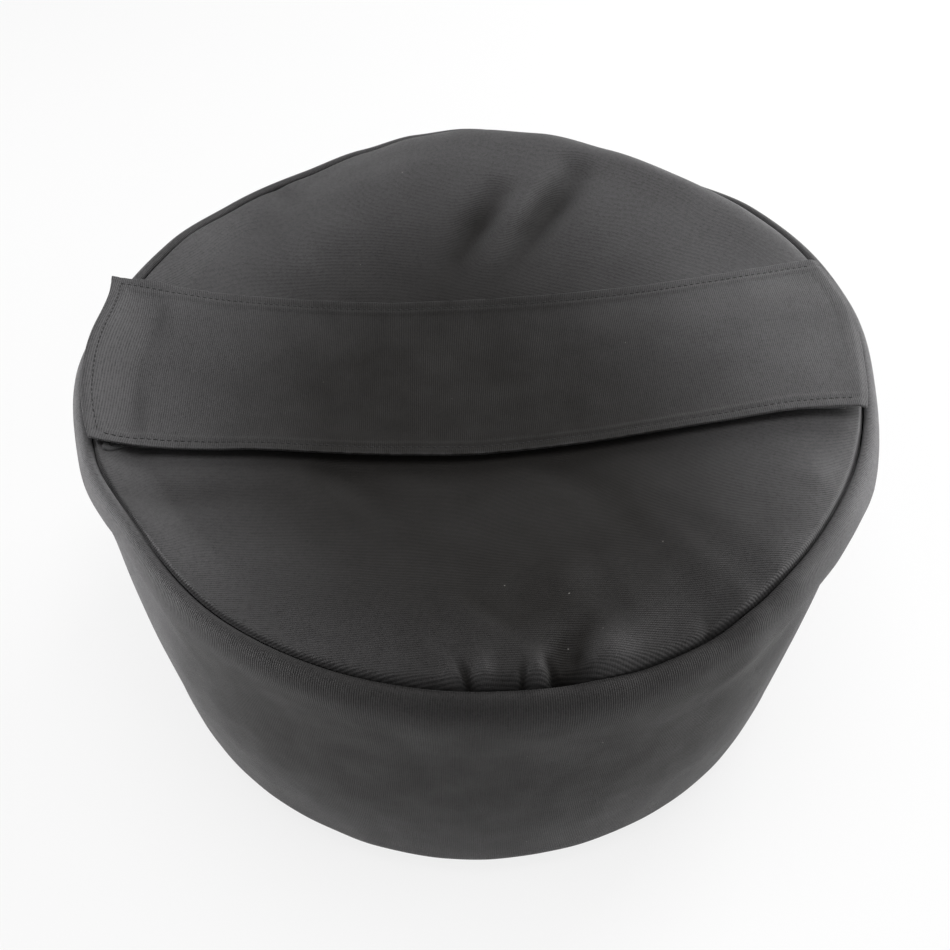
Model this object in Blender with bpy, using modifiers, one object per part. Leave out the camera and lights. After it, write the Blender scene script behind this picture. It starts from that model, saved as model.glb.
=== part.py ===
"""Sandbag trainer: a short drum of ribbed fabric, filled with sand, with a zip under a wide cover flap.

Units are metres and +Z is up. The origin is on the floor under the middle of the drum. The flap lies
along X and opens at its front edge, which faces -Y. The zip runs along X on a shallow arc in its own
valley, and its slider is closed at the +X end.
"""

import math

import bmesh
import bpy
from mathutils import Vector

# Drum
SEAM_RADIUS = 0.195
SEAM_HEIGHT = 0.206
WALL_LOW_FLARE = 0.0035
WALL_HIGH_FLARE = 0.0065
CORNER_RADIUS = 0.030
RIM_BEAD_RADIUS = 0.0055
RIM_NECK_DROP = 0.014
BEAD_END_ANGLE = math.radians(150)
BEAD_NECK_ANGLE = math.radians(-50)
BASE_SEAM_ANGLE = math.radians(60)

# Fabric layers and the gaps between them
WALL_THICKNESS = 0.0015
PANEL_THICKNESS = 0.0012
BINDING_THICKNESS = 0.0020
BINDING_WIDTH = 0.012
BINDING_DROP = 0.0011
STRIP_THICKNESS = 0.0012
STRIP_WIDTH = 0.025
STRIP_END_INSET = 0.004
PIECE_GAP = 0.0003
LAYER_GAP = 0.0005
MERGE_DISTANCE = 0.00001

# Top surface: puffed inside the seam in front and behind, dished in the middle and drawn down at its left
PUFF_INSET = 0.023
PUFF_MEAN = 0.0005
PUFF_LEAN = 0.0072
PUFF_PINCH = 0.0057
DISH_X = -0.038
DISH_Y = -0.016
DISH_DEPTH = 0.022
DISH_FLAT_SHARE = 0.2

# Zip line: a valley in the panels, and the tapes under their edges
ZIP_Y = 0.026
ZIP_VALLEY_DEPTH = 0.004
ZIP_END_DEPTH = 0.0036
VALLEY_FLOOR_HALF = 0.0156
VALLEY_HALF = 0.028
VALLEY_INSET = 0.029
VALLEY_FADE = 0.018
ZIP_OPENING_HALF = 0.008
TAPE_WIDTH = 0.0145
TAPE_THICKNESS = 0.0008
TAPE_INSET = 0.027
TAPE_COLUMN = 0.012
CORD_SIZE = 0.0016
CORD_SPREAD = 0.0008
TOOTH_PITCH = 0.0050
TOOTH_HEIGHT = 0.0026
TOOTH_REACH = 0.0013
TOOTH_GRIP = 0.0014
TOOTH_HEAD_WIDTH = 0.0019
TOOTH_ROOT_WIDTH = 0.0028
CHAIN_START_INSET = 0.021
CHAIN_END_INSET = 0.0175
CHAIN_CLEARANCE = 0.0003
STOP_LENGTH = 0.0045
STOP_WIDTH = 0.0064
STOP_WALL = 0.0009
TOP_STOP_LENGTH = 0.0030
TAB_WIDTH = 0.026
TAB_OVERLAP = 0.0010
TAB_RIM_INSET = 0.007
TAB_THICKNESS = 0.0010

# Slider and pull
SLIDER_PARK = 0.0015
SLIDER_LENGTH = 0.015
SLIDER_WIDTH = 0.0112
SLIDER_TAIL_WIDTH = 0.0096
SLIDER_PLATE = 0.0012
SLIDER_FLANGE = 0.0010
TAPE_SLOT = 0.0014
POST_LENGTH = 0.0046
POST_WIDTH = 0.0030
CROWN_LENGTH = 0.0090
CROWN_WIDTH = 0.0024
CROWN_BAR = 0.0010
CROWN_EYE = 0.0018
PULL_LENGTH = 0.022
PULL_WIDTH = 0.0080
PULL_THICKNESS = 0.0012
PULL_BAR = 0.0012

# Flap and its closure tapes
FLAP_WIDTH = 0.114
FLAP_HEM = 0.005
FLAP_THICKNESS = 0.0016
FLAP_REAR_OVERHANG = 0.0035
FLAP_FRONT_TUCK = 0.0064
FLAP_RIGHT_TUCK = 0.0055
FLAP_SEWN_RAMP = 0.0035
FLAP_FRONT_LIFT = 0.003
FLAP_LIFT_X = -0.015
FLAP_LIFT_HALF = 0.085
COVER_SPAN = 0.040
HOOK_FRONT_INSET = 0.0055
HOOK_THICKNESS = 0.0015
LOOP_THICKNESS = 0.0012
LOOP_GAP = 0.0007
LOOP_FRONT_INSET = 0.005

# Liner, filler neck and sand
LINER_THICKNESS = 0.0010
LINER_GAP = 0.0008
LINER_TOP_CORNER = 0.031
LINER_BASE_CORNER = 0.034
LINER_NECK_RADIUS = 0.045
LINER_ZIP_ROOM = 0.0030
NECK_POCKET_INNER = 0.085
NECK_POCKET_OUTER = 0.125
NECK_POCKET_DEPTH = 0.0100
NECK_WIDTH = 0.120
NECK_FOLD_LENGTH = 0.070
NECK_PLY = 0.0012
NECK_PLY_GAP = 0.0012
STRAP_WIDTH = 0.020
STRAP_THICKNESS = 0.0010
STRAP_ANCHOR = 0.012
STRAP_SHOULDER = 0.0025
STRAP_RAMP = 0.010
STRAP_OVERLAP = 0.050
SAND_GAP = 0.0005

# Mesh steps, and rows as shares of the distance from a straight edge
SHARP_ANGLE = math.radians(35)
WALL_STEPS = 48
LINER_STEPS = 24
PANEL_COLUMNS = 38
FLAP_COLUMNS = 32
HOOK_END_COLUMNS = 1
LOOP_END_COLUMNS = 2
CROWDING_SHARE = 0.6
RIBBON_COLUMNS = 6
BOWL_STEPS = 2
NECK_STEPS = 4
NECK_LAYERS = 3
RIM_ROW_SHARES = (0.7, 0.8, 0.88, 0.94, 0.98, 1.0)
FRONT_ROW_SHARES = (0.0, 0.036, 0.055, 0.075, 0.1, 0.16, 0.23, 0.3, 0.35, 0.42, 0.56) + RIM_ROW_SHARES
REAR_ROW_SHARES = (0.0, 0.048, 0.075, 0.1, 0.13, 0.22, 0.36, 0.52, 0.68, 0.8, 0.88, 0.94, 0.98, 1.0)
FLAP_ROW_SHARES = (0.0, 0.12, 0.3, 0.48, 0.66, 0.84, 1.0)
LOOP_ROW_SHARES = (0.0, 0.2, 0.4, 0.6, 0.8, 1.0)

# Places that follow from the sizes above
WALL_LOW_RADIUS = SEAM_RADIUS + WALL_LOW_FLARE
WALL_HIGH_RADIUS = SEAM_RADIUS + WALL_HIGH_FLARE
BASE_SEAM_RADIUS = WALL_LOW_RADIUS - CORNER_RADIUS * (1.0 - math.cos(BASE_SEAM_ANGLE))
BASE_SEAM_HEIGHT = CORNER_RADIUS * (1.0 - math.sin(BASE_SEAM_ANGLE))
BEAD_CENTRE_R = SEAM_RADIUS + PIECE_GAP - RIM_BEAD_RADIUS * math.cos(BEAD_END_ANGLE)
BEAD_CENTRE_Z = SEAM_HEIGHT - RIM_BEAD_RADIUS * math.sin(BEAD_END_ANGLE)
BEAD_TOP = BEAD_CENTRE_Z + RIM_BEAD_RADIUS - SEAM_HEIGHT
FACET_SAG = WALL_HIGH_RADIUS * (1.0 - math.cos(math.pi / WALL_STEPS))
PUFF_RADIUS = SEAM_RADIUS - PUFF_INSET
VALLEY_END = SEAM_RADIUS - VALLEY_INSET
ZIP_MEAN_RISE = DISH_DEPTH + ZIP_VALLEY_DEPTH + PUFF_MEAN - PUFF_PINCH - ZIP_END_DEPTH
ZIP_RIGHT_RISE = ZIP_MEAN_RISE + PUFF_LEAN
RISE_ROOT_SHARE = math.sqrt((ZIP_MEAN_RISE - PUFF_LEAN) / ZIP_RIGHT_RISE)
ZIP_AXIS_X = VALLEY_END * (RISE_ROOT_SHARE - 1.0) / (RISE_ROOT_SHARE + 1.0)
ZIP_ARC_RADIUS = (ZIP_RIGHT_RISE**2 + (VALLEY_END - ZIP_AXIS_X) ** 2) / (2.0 * ZIP_RIGHT_RISE)
ZIP_FLOOR_Z = SEAM_HEIGHT - DISH_DEPTH - ZIP_VALLEY_DEPTH
ZIP_AXIS_Z = ZIP_FLOOR_Z + ZIP_ARC_RADIUS
CHAIN_DROP = PANEL_THICKNESS + LAYER_GAP + TAPE_THICKNESS / 2
CHAIN_ARC_RADIUS = ZIP_ARC_RADIUS + CHAIN_DROP
TAPE_END = SEAM_RADIUS - TAPE_INSET
CHAIN_START = CHAIN_START_INSET - TAPE_END
CHAIN_END = TAPE_END - CHAIN_END_INSET
SLIDER_HOME = CHAIN_END + SLIDER_PARK
PARTED_X = SLIDER_HOME + SLIDER_LENGTH / 2 - POST_LENGTH
CORD_EDGE = TOOTH_REACH + CHAIN_CLEARANCE
PLATE_INNER = TOOTH_HEIGHT / 2 + CHAIN_CLEARANCE
PLATE_OUTER = PLATE_INNER + SLIDER_PLATE
PULL_PIVOT_Z = PLATE_OUTER + CROWN_EYE / 2
SEWN_Y = FLAP_WIDTH / 2 - FLAP_HEM
HOOK_BACK_Y = SEWN_Y - FLAP_SEWN_RAMP
LOOP_FRONT_Y = LOOP_FRONT_INSET - FLAP_WIDTH / 2
LOOP_BACK_Y = ZIP_Y - VALLEY_HALF
FLAP_STACK = LOOP_GAP + LOOP_THICKNESS + LAYER_GAP + HOOK_THICKNESS + LAYER_GAP
LINER_STRIP_ROOM = WALL_THICKNESS + FACET_SAG + PIECE_GAP + STRIP_THICKNESS
LINER_LOW_RADIUS = WALL_LOW_RADIUS - LINER_STRIP_ROOM - LINER_GAP
LINER_HIGH_RADIUS = WALL_HIGH_RADIUS - LINER_STRIP_ROOM - LINER_GAP
LINER_SHOULDER = LINER_HIGH_RADIUS - LINER_TOP_CORNER

BLACK_FABRIC = (0.030, 0.029, 0.031, 1.0)
BLACK_TAPE = (0.018, 0.018, 0.019, 1.0)
BLACK_PLASTIC = (0.022, 0.022, 0.024, 1.0)
BLACK_METAL = (0.035, 0.035, 0.038, 1.0)
GREY_LINER = (0.20, 0.21, 0.22, 1.0)
SAND_COLOUR = (0.55, 0.43, 0.28, 1.0)


def clear_scene():
    for obj in list(bpy.data.objects):
        bpy.data.objects.remove(obj, do_unlink=True)
    for block in list(bpy.data.collections):
        bpy.data.collections.remove(block)


def new_collection(name, hidden=False):
    made = bpy.data.collections.new(name)
    made.hide_render = hidden
    bpy.context.scene.collection.children.link(made)
    return made


def material(name, colour, roughness, metallic=0.0):
    made = bpy.data.materials.new(name)
    made.use_nodes = True
    shader = made.node_tree.nodes["Principled BSDF"]
    shader.inputs["Base Color"].default_value = colour
    shader.inputs["Roughness"].default_value = roughness
    shader.inputs["Metallic"].default_value = metallic
    made.diffuse_color = colour
    return made


def add_object(name, mesh_tool, collection, finish=None):
    """A named object from a filled bmesh, shaded smooth except at sharp edges."""
    mesh = bpy.data.meshes.new(name)
    mesh_tool.to_mesh(mesh)
    mesh_tool.free()
    mesh.shade_smooth()
    mesh.set_sharp_from_angle(angle=SHARP_ANGLE)
    obj = bpy.data.objects.new(name, mesh)
    collection.objects.link(obj)
    if finish:
        obj.data.materials.append(finish)
    return obj


def add_cutter(name, mesh_tool):
    obj = add_object(name, mesh_tool, CUTTERS)
    obj.hide_render = True
    obj.display_type = "WIRE"
    return obj


def combine(obj, other, operation):
    boolean = obj.modifiers.new(operation.title() + "_" + other.name, "BOOLEAN")
    boolean.operation = operation
    boolean.solver = "EXACT"
    boolean.object = other


def smooth(value):
    share = min(1.0, max(0.0, value))
    return share * share * (3.0 - 2.0 * share)


def crowded(share):
    """A share from 0 to 1 whose steps get finer towards both ends."""
    return share + CROWDING_SHARE * (0.5 - 0.5 * math.cos(math.pi * share) - share)


def puff(angle):
    """Height over the seam plane of the ridge inside the seam, by its angle from +X."""
    return PUFF_MEAN + PUFF_LEAN * math.cos(angle) - PUFF_PINCH * math.cos(2 * angle)


def dish(x, y):
    """Height of the filled top over the seam plane, before the zip draws it down."""
    radius = math.hypot(x, y)
    if radius > PUFF_RADIUS:
        ridge = puff(math.atan2(y, x))
        out = min(1.0, (radius - PUFF_RADIUS) / (SEAM_RADIUS - PIECE_GAP - PUFF_RADIUS))
        return ridge * (math.sqrt(1.0 - out * out) if ridge > 0.0 else 1.0 - smooth(out))
    way = Vector((x - DISH_X, y - DISH_Y))
    distance = way.length
    if distance == 0.0:
        return -DISH_DEPTH
    way /= distance
    along = DISH_X * way.x + DISH_Y * way.y
    reach = math.sqrt(along**2 + PUFF_RADIUS**2 - DISH_X**2 - DISH_Y**2) - along
    ridge = puff(math.atan2(DISH_Y + way.y * reach, DISH_X + way.x * reach))
    rise = smooth((distance / reach - DISH_FLAT_SHARE) / (1.0 - DISH_FLAT_SHARE))
    return (ridge + DISH_DEPTH) * rise - DISH_DEPTH


def cover(x, y):
    """Height over the seam plane of the surface that the flap lies on, where it bridges the rim."""
    radius = math.hypot(x, y)
    if radius <= PUFF_RADIUS:
        return dish(x, y)
    ridge = puff(math.atan2(y, x))
    if ridge < BEAD_TOP:
        out = (radius - PUFF_RADIUS) / (SEAM_RADIUS - PUFF_RADIUS)
        return ridge + (BEAD_TOP - ridge) * smooth(out)
    out = min(1.0, (radius - PUFF_RADIUS) / COVER_SPAN)
    return BEAD_TOP + (ridge - BEAD_TOP) * math.sqrt(1.0 - out * out)


def bowl(distance):
    """How far the zip's arc has risen at a distance from its lowest point."""
    return ZIP_ARC_RADIUS - math.sqrt(ZIP_ARC_RADIUS**2 - distance * distance)


def zip_floor(x):
    """Height over the seam plane of the panel edges along the zip's arc."""
    return bowl(x - ZIP_AXIS_X) - DISH_DEPTH - ZIP_VALLEY_DEPTH


def top_height(x, y):
    """Height of the outer face of the two top panels, with the zip's valley."""
    plain = dish(x, y)
    across = abs(y - ZIP_Y)
    beside = 1.0 - smooth((across - VALLEY_FLOOR_HALF) / (VALLEY_HALF - VALLEY_FLOOR_HALF))
    along = 1.0 - smooth((abs(x) - VALLEY_END) / VALLEY_FADE)
    end = TAPE_END + VALLEY_FADE
    floor = min(plain, zip_floor(max(-end, min(end, x))))
    return SEAM_HEIGHT + plain + (floor - plain) * beside * along


def flap_rise(x, y):
    """How far the flap's free edge stands off in the middle."""
    across = smooth((SEWN_Y - y) / FLAP_WIDTH)
    along = 1.0 - smooth(abs(x - FLAP_LIFT_X) / FLAP_LIFT_HALF)
    return FLAP_FRONT_LIFT * across * across * along


def turned(name, profile, steps, finish, closed=False):
    """An outline, (radius, height) from top to bottom down its outer side, turned about Z."""
    tool = bmesh.new()
    points = [tool.verts.new((radius, 0.0, height)) for radius, height in profile]
    following = points[1:] + points[:1] if closed else points[1:]
    for first, second in zip(points, following):
        tool.edges.new((first, second))
    obj = add_object(name, tool, PARTS, finish)
    turn = obj.modifiers.new("Turn", "SCREW")
    turn.axis = "Z"
    turn.steps = steps
    turn.render_steps = steps
    turn.use_merge_vertices = True
    turn.merge_threshold = MERGE_DISTANCE
    turn.use_smooth_shade = True
    return obj


def give_wall(obj, thickness, offset=-1.0):
    """Makes an open surface a shell, with its wall behind its faces unless the offset says otherwise."""
    wall = obj.modifiers.new("Wall", "SOLIDIFY")
    wall.thickness = thickness
    wall.offset = offset
    wall.use_even_offset = True


def sheet(columns, rows, place, thickness_up):
    """A grid laid where place(u, v) says, with u and v from 0 to 1, and raised by its thickness."""
    tool = bmesh.new()
    bmesh.ops.create_grid(tool, x_segments=columns, y_segments=rows, size=0.5)
    for vert in tool.verts:
        vert.co = place(vert.co.x + 0.5, vert.co.y + 0.5)
    bmesh.ops.remove_doubles(tool, verts=tool.verts, dist=MERGE_DISTANCE)
    if thickness_up:
        raised = bmesh.ops.extrude_face_region(tool, geom=tool.faces[:])
        lifted = [item for item in raised["geom"] if isinstance(item, bmesh.types.BMVert)]
        bmesh.ops.translate(tool, verts=lifted, vec=(0.0, 0.0, thickness_up))
        bmesh.ops.recalc_face_normals(tool, faces=tool.faces[:])
    return tool


def prism(outline, low, high):
    """A flat outline in X and Y, extruded from one height to another."""
    tool = bmesh.new()
    face = tool.faces.new([tool.verts.new((x, y, low)) for x, y in outline])
    raised = bmesh.ops.extrude_face_region(tool, geom=[face])
    lifted = [item for item in raised["geom"] if isinstance(item, bmesh.types.BMVert)]
    bmesh.ops.translate(tool, verts=lifted, vec=(0.0, 0.0, high - low))
    bmesh.ops.recalc_face_normals(tool, faces=tool.faces[:])
    return tool


def box(centre, size):
    tool = bmesh.new()
    bmesh.ops.create_cube(tool, size=1.0)
    bmesh.ops.scale(tool, verts=tool.verts, vec=size)
    bmesh.ops.translate(tool, verts=tool.verts, vec=centre)
    return tool


def on_chain(point):
    """A point of the flat chain, X along it and Z over its middle, laid on the zip's arc."""
    angle = (point.x - ZIP_AXIS_X) / CHAIN_ARC_RADIUS
    radius = CHAIN_ARC_RADIUS - point.z
    x = ZIP_AXIS_X + radius * math.sin(angle)
    return Vector((x, point.y + ZIP_Y, ZIP_AXIS_Z - radius * math.cos(angle)))


def lay_on_chain(tool):
    for vert in tool.verts:
        vert.co = on_chain(vert.co)


def arc_points(centre, radius, start, end, count):
    """Points of an arc in the (radius, height) plane, its ends included."""
    angles = [start + (end - start) * step / count for step in range(count + 1)]
    return [(centre[0] + radius * math.cos(a), centre[1] + radius * math.sin(a)) for a in angles]


def wall_radius(height):
    """Outer radius of the side wall between its base corner and the neck under the rim."""
    high = BEAD_CENTRE_Z - RIM_NECK_DROP
    share = (height - CORNER_RADIUS) / (high - CORNER_RADIUS)
    return WALL_LOW_RADIUS + (WALL_HIGH_RADIUS - WALL_LOW_RADIUS) * share


def wall_outline():
    """The side wall's outline from the top seam over the rim bead and down to the base seam."""
    high = BEAD_CENTRE_Z - RIM_NECK_DROP
    bead = (BEAD_CENTRE_R, BEAD_CENTRE_Z)
    points = arc_points(bead, RIM_BEAD_RADIUS, BEAD_END_ANGLE, BEAD_NECK_ANGLE, 5)
    points += [(wall_radius(z), z) for z in (high, (high + CORNER_RADIUS) / 2)]
    corner = (WALL_LOW_RADIUS - CORNER_RADIUS, CORNER_RADIUS)
    points += arc_points(corner, CORNER_RADIUS, 0.0, -BASE_SEAM_ANGLE, 3)
    return points


def side_wall():
    outline = wall_outline()
    last = outline[-1]
    outline[-1] = (last[0] + PIECE_GAP, last[1] + PIECE_GAP)
    give_wall(turned("side_wall", outline, WALL_STEPS, FABRIC), WALL_THICKNESS)


def base_panel():
    centre = (BASE_SEAM_RADIUS - PIECE_GAP - BASE_SEAM_HEIGHT, BASE_SEAM_HEIGHT)
    edge = arc_points(centre, BASE_SEAM_HEIGHT, 0.0, -math.pi / 2, 2)
    give_wall(turned("base_panel", edge + [(0.0, 0.0)], WALL_STEPS, FABRIC), WALL_THICKNESS)


def base_seam_binding():
    """The tape that binds the base seam's edges, lying against the inside of the wall's last facet."""
    high, low = (Vector(point) for point in wall_outline()[-2:])
    along = (low - high).normalized()
    inward = Vector((along.y, -along.x))
    inset = inward * (WALL_THICKNESS + PIECE_GAP)
    low_end = low - along * 2 * BINDING_DROP + inset
    high_end = high + along * BINDING_DROP + inset
    binding = turned("base_seam_binding", [high_end, low_end], WALL_STEPS, WEBBING)
    give_wall(binding, BINDING_THICKNESS)


def top_seam_binding():
    top = SEAM_HEIGHT - PANEL_THICKNESS - 2 * LAYER_GAP
    outer = SEAM_RADIUS + BINDING_THICKNESS / 2
    inner = SEAM_RADIUS - BINDING_THICKNESS / 2
    low = top - BINDING_WIDTH
    outline = [(outer, top), (outer, low), (inner, low), (inner, top)]
    turned("top_seam_binding", outline, WALL_STEPS, WEBBING, closed=True)


def wall_seam_strip():
    """The felled seam that closes the wall behind, a strip on the inside of the wall."""
    low = CORNER_RADIUS + STRIP_END_INSET
    high = BEAD_CENTRE_Z - RIM_NECK_DROP - STRIP_END_INSET
    inset = WALL_THICKNESS + FACET_SAG + PIECE_GAP

    def place(u, v):
        height = low + (high - low) * v
        radius = wall_radius(height) - inset - STRIP_THICKNESS
        angle = (u - 0.5) * STRIP_WIDTH / WALL_LOW_RADIUS
        return Vector((radius * math.sin(angle), radius * math.cos(angle), height))

    tool = sheet(4, 2, place, 0.0)
    give_wall(add_object("wall_seam_strip", tool, PARTS, WEBBING), STRIP_THICKNESS)


def top_panel(name, side, row_shares):
    """Half of the top, from the zip's edge (side -1 in front, +1 behind) to the round seam."""
    edge_y = ZIP_Y + side * ZIP_OPENING_HALF
    radius = SEAM_RADIUS - PIECE_GAP
    half = math.sqrt(radius**2 - edge_y**2)
    corner = math.asin(edge_y / radius)
    start = math.pi - corner
    sweep = math.pi + 2 * corner if side < 0 else 2 * corner - math.pi
    rows = len(row_shares) - 1

    def place(u, v):
        share = row_shares[round(v * rows)]
        along = crowded(u)
        straight = Vector((half * (2 * along - 1), edge_y, 0.0))
        angle = start + sweep * along
        curved = Vector((radius * math.cos(angle), radius * math.sin(angle), 0.0))
        point = straight.lerp(curved, share)
        on_seam = share == 1.0 or u in (0.0, 1.0)
        point.z = SEAM_HEIGHT if on_seam else top_height(point.x, point.y)
        return point

    tool = sheet(PANEL_COLUMNS, rows, place, 0.0)
    bmesh.ops.recalc_face_normals(tool, faces=tool.faces[:])
    if sum(face.normal.z for face in tool.faces) < 0.0:
        bmesh.ops.reverse_faces(tool, faces=tool.faces[:])
    give_wall(add_object(name, tool, PARTS, FABRIC), PANEL_THICKNESS)


def cord_edge(x):
    """How far a tape's corded edge stands off the middle: the two part round the slider's post."""
    return CORD_EDGE + CORD_SPREAD * smooth((x - CHAIN_END) / (PARTED_X - CHAIN_END))


def zip_tape(name, side):
    """One woven tape with its corded edge and its row of moulded teeth."""
    columns = round(2 * TAPE_END / TAPE_COLUMN)
    spots = [TAPE_END * (2 * column / columns - 1) for column in range(columns + 1)]
    spots = sorted(spots + [CHAIN_END, PARTED_X])
    cord, half = CORD_SIZE / 2, TAPE_THICKNESS / 2
    tool = bmesh.new()
    before = None
    for x in spots:
        edge = cord_edge(x)
        upper = [(edge, cord), (edge + CORD_SIZE, cord), (edge + CORD_SIZE + cord, half),
                 (CORD_EDGE + TAPE_WIDTH, half)]
        section = upper + [(y, -z) for y, z in reversed(upper)]
        ring = [tool.verts.new((x, side * y, z)) for y, z in section]
        if before:
            for i in range(len(ring)):
                tool.faces.new((before[i - 1], before[i], ring[i], ring[i - 1]))
        else:
            tool.faces.new(ring)
        before = ring
    tool.faces.new(before)
    bmesh.ops.recalc_face_normals(tool, faces=tool.faces[:])
    lay_on_chain(tool)
    tape = add_object(name, tool, PARTS, WEBBING)
    combine(tape, tooth_row(name + "_teeth", side), "UNION")


def tooth_row(name, side):
    """The teeth of one side, each a block moulded over the cord that narrows to its head."""
    tool = bmesh.new()
    count = int((CHAIN_END - CHAIN_START) / TOOTH_PITCH)
    head, root = TOOTH_HEAD_WIDTH / 2, TOOTH_ROOT_WIDTH / 2
    for number in range(count):
        middle = CHAIN_START + (number + (0.25 if side > 0 else 0.75)) * TOOTH_PITCH
        back, front = side * (CORD_EDGE + TOOTH_GRIP), -side * TOOTH_REACH
        outline = [(-root, back), (-head, front), (head, front), (root, back)]
        points = [tool.verts.new((middle + x, y, -TOOTH_HEIGHT / 2)) for x, y in outline]
        raised = bmesh.ops.extrude_face_region(tool, geom=[tool.faces.new(points)])
        lifted = [item for item in raised["geom"] if isinstance(item, bmesh.types.BMVert)]
        bmesh.ops.translate(tool, verts=lifted, vec=(0.0, 0.0, TOOTH_HEIGHT))
    bmesh.ops.recalc_face_normals(tool, faces=tool.faces[:])
    lay_on_chain(tool)
    return add_cutter(name, tool)


def stop_on_chain(name, section, x, length):
    """A moulded stop: a section in (across, height) drawn along the chain, centred at x."""
    tool = bmesh.new()
    face = tool.faces.new([tool.verts.new((x - length / 2, y, z)) for y, z in section])
    drawn = bmesh.ops.extrude_face_region(tool, geom=[face])
    moved = [item for item in drawn["geom"] if isinstance(item, bmesh.types.BMVert)]
    bmesh.ops.translate(tool, verts=moved, vec=(length, 0.0, 0.0))
    bmesh.ops.recalc_face_normals(tool, faces=tool.faces[:])
    lay_on_chain(tool)
    add_object(name, tool, PARTS, PLASTIC)


def zip_stops():
    """The bottom stop holds both tapes at the open end; a top stop clips each tape's cord at the other."""
    inner = CORD_SIZE / 2 + CHAIN_CLEARANCE
    outer = inner + STOP_WALL
    web, arm = CORD_EDGE - CHAIN_CLEARANCE, STOP_WIDTH / 2
    quarter = [(web, inner), (arm, inner), (arm, outer)]
    right = [(y, -z) for y, z in reversed(quarter)] + quarter
    x = CHAIN_START - CHAIN_CLEARANCE - STOP_LENGTH / 2
    stop_on_chain("zip_bottom_stop", right + [(-y, -z) for y, z in right], x, STOP_LENGTH)
    x = SLIDER_HOME + SLIDER_LENGTH / 2 + CHAIN_CLEARANCE + TOP_STOP_LENGTH / 2
    web = CORD_EDGE + CORD_SPREAD - CHAIN_CLEARANCE
    back, arm = web - STOP_WALL, web + CORD_SIZE + CHAIN_CLEARANCE
    clip = [(back, -outer), (arm, -outer), (arm, -inner), (web, -inner),
            (web, inner), (arm, inner), (arm, outer), (back, outer)]
    for name, side in (("zip_top_stop_front", -1), ("zip_top_stop_rear", 1)):
        stop_on_chain(name, [(side * y, z) for y, z in clip], x, TOP_STOP_LENGTH)


def zip_end_tab(name, side):
    """A folded fabric tab sewn over the end of the zip, where the two panels' edges meet the seam."""
    start = TAPE_END - TAB_OVERLAP
    reach = SEAM_RADIUS - TAB_RIM_INSET

    def place(u, v):
        y = ZIP_Y + (v - 0.5) * TAB_WIDTH
        end = math.sqrt(reach**2 - y * y)
        x = side * (start + (end - start) * u)
        return Vector((x, y, top_height(x, y) + LAYER_GAP))

    tool = sheet(6, 4, place, TAB_THICKNESS)
    add_object(name, tool, PARTS, FABRIC)


def slider_outline(inset):
    """The slider's plan: full width at its mouth, narrower at its tail, along +X to -X."""
    front, back = SLIDER_LENGTH / 2, -SLIDER_LENGTH / 2
    wide, tail = SLIDER_WIDTH / 2 - inset, SLIDER_TAIL_WIDTH / 2 - inset
    nose = front - SLIDER_WIDTH / 6
    return [
        (back, -tail),
        (0.0, -tail),
        (front / 2, -wide),
        (nose, -wide),
        (front, -wide + SLIDER_FLANGE),
        (front, wide - SLIDER_FLANGE),
        (nose, wide),
        (front / 2, wide),
        (0.0, tail),
        (back, tail),
    ]


def place_on_slider(obj):
    obj.parent = bpy.data.objects["slider_pivot"]


def slider_frame():
    """An empty on the axis that the zip's arc turns about, and another on the pull's bar."""
    pivot = bpy.data.objects.new("slider_pivot", None)
    pivot.location = (ZIP_AXIS_X, ZIP_Y, ZIP_AXIS_Z)
    pivot.rotation_euler = (0.0, (ZIP_AXIS_X - SLIDER_HOME) / CHAIN_ARC_RADIUS, 0.0)
    PARTS.objects.link(pivot)
    bar = bpy.data.objects.new("pull_pivot", None)
    bar.parent = pivot
    bar.location = (0.0, 0.0, PULL_PIVOT_Z - CHAIN_ARC_RADIUS)
    PARTS.objects.link(bar)


def zip_slider():
    """Two plates joined by a post, with side flanges, a channel for the teeth and a crown for the pull."""
    body = prism(slider_outline(0.0), -PLATE_OUTER, PLATE_OUTER)
    slider = add_object("zip_slider", body, PARTS, METAL)
    channel = prism(channel_outline(), -PLATE_INNER, PLATE_INNER)
    slot = box((0.0, 0.0, 0.0), (SLIDER_LENGTH * 2, SLIDER_WIDTH * 2, TAPE_SLOT))
    post = prism(post_outline(), -PLATE_OUTER + SLIDER_PLATE / 2, PLATE_OUTER - SLIDER_PLATE / 2)
    pieces = [
        (add_cutter("slider_channel", channel), "DIFFERENCE"),
        (add_cutter("slider_slot", slot), "DIFFERENCE"),
        (add_cutter("slider_post", post), "UNION"),
        (crown(), "UNION"),
    ]
    for piece, operation in pieces:
        combine(slider, piece, operation)
    for obj in [slider] + [piece for piece, _ in pieces]:
        obj.location = (0.0, 0.0, -CHAIN_ARC_RADIUS)
        place_on_slider(obj)


def channel_outline():
    """The room for the teeth inside the slider, open at the mouth and at the tail."""
    over = SLIDER_LENGTH
    tail = SLIDER_TAIL_WIDTH / 2 - SLIDER_FLANGE
    wide = SLIDER_WIDTH / 2 - SLIDER_FLANGE
    quarter = SLIDER_LENGTH / 4
    lower = [(-over, -tail), (0.0, -tail), (quarter, -wide), (over, -wide)]
    return lower + [(x, -y) for x, y in reversed(lower)]


def post_outline():
    front = SLIDER_LENGTH / 2
    back = front - POST_LENGTH
    half = POST_WIDTH / 2
    return [(back, 0.0), (back + half, -half), (front - half / 2, -half),
            (front, -half / 2), (front, half / 2), (front - half / 2, half), (back + half, half)]


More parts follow.
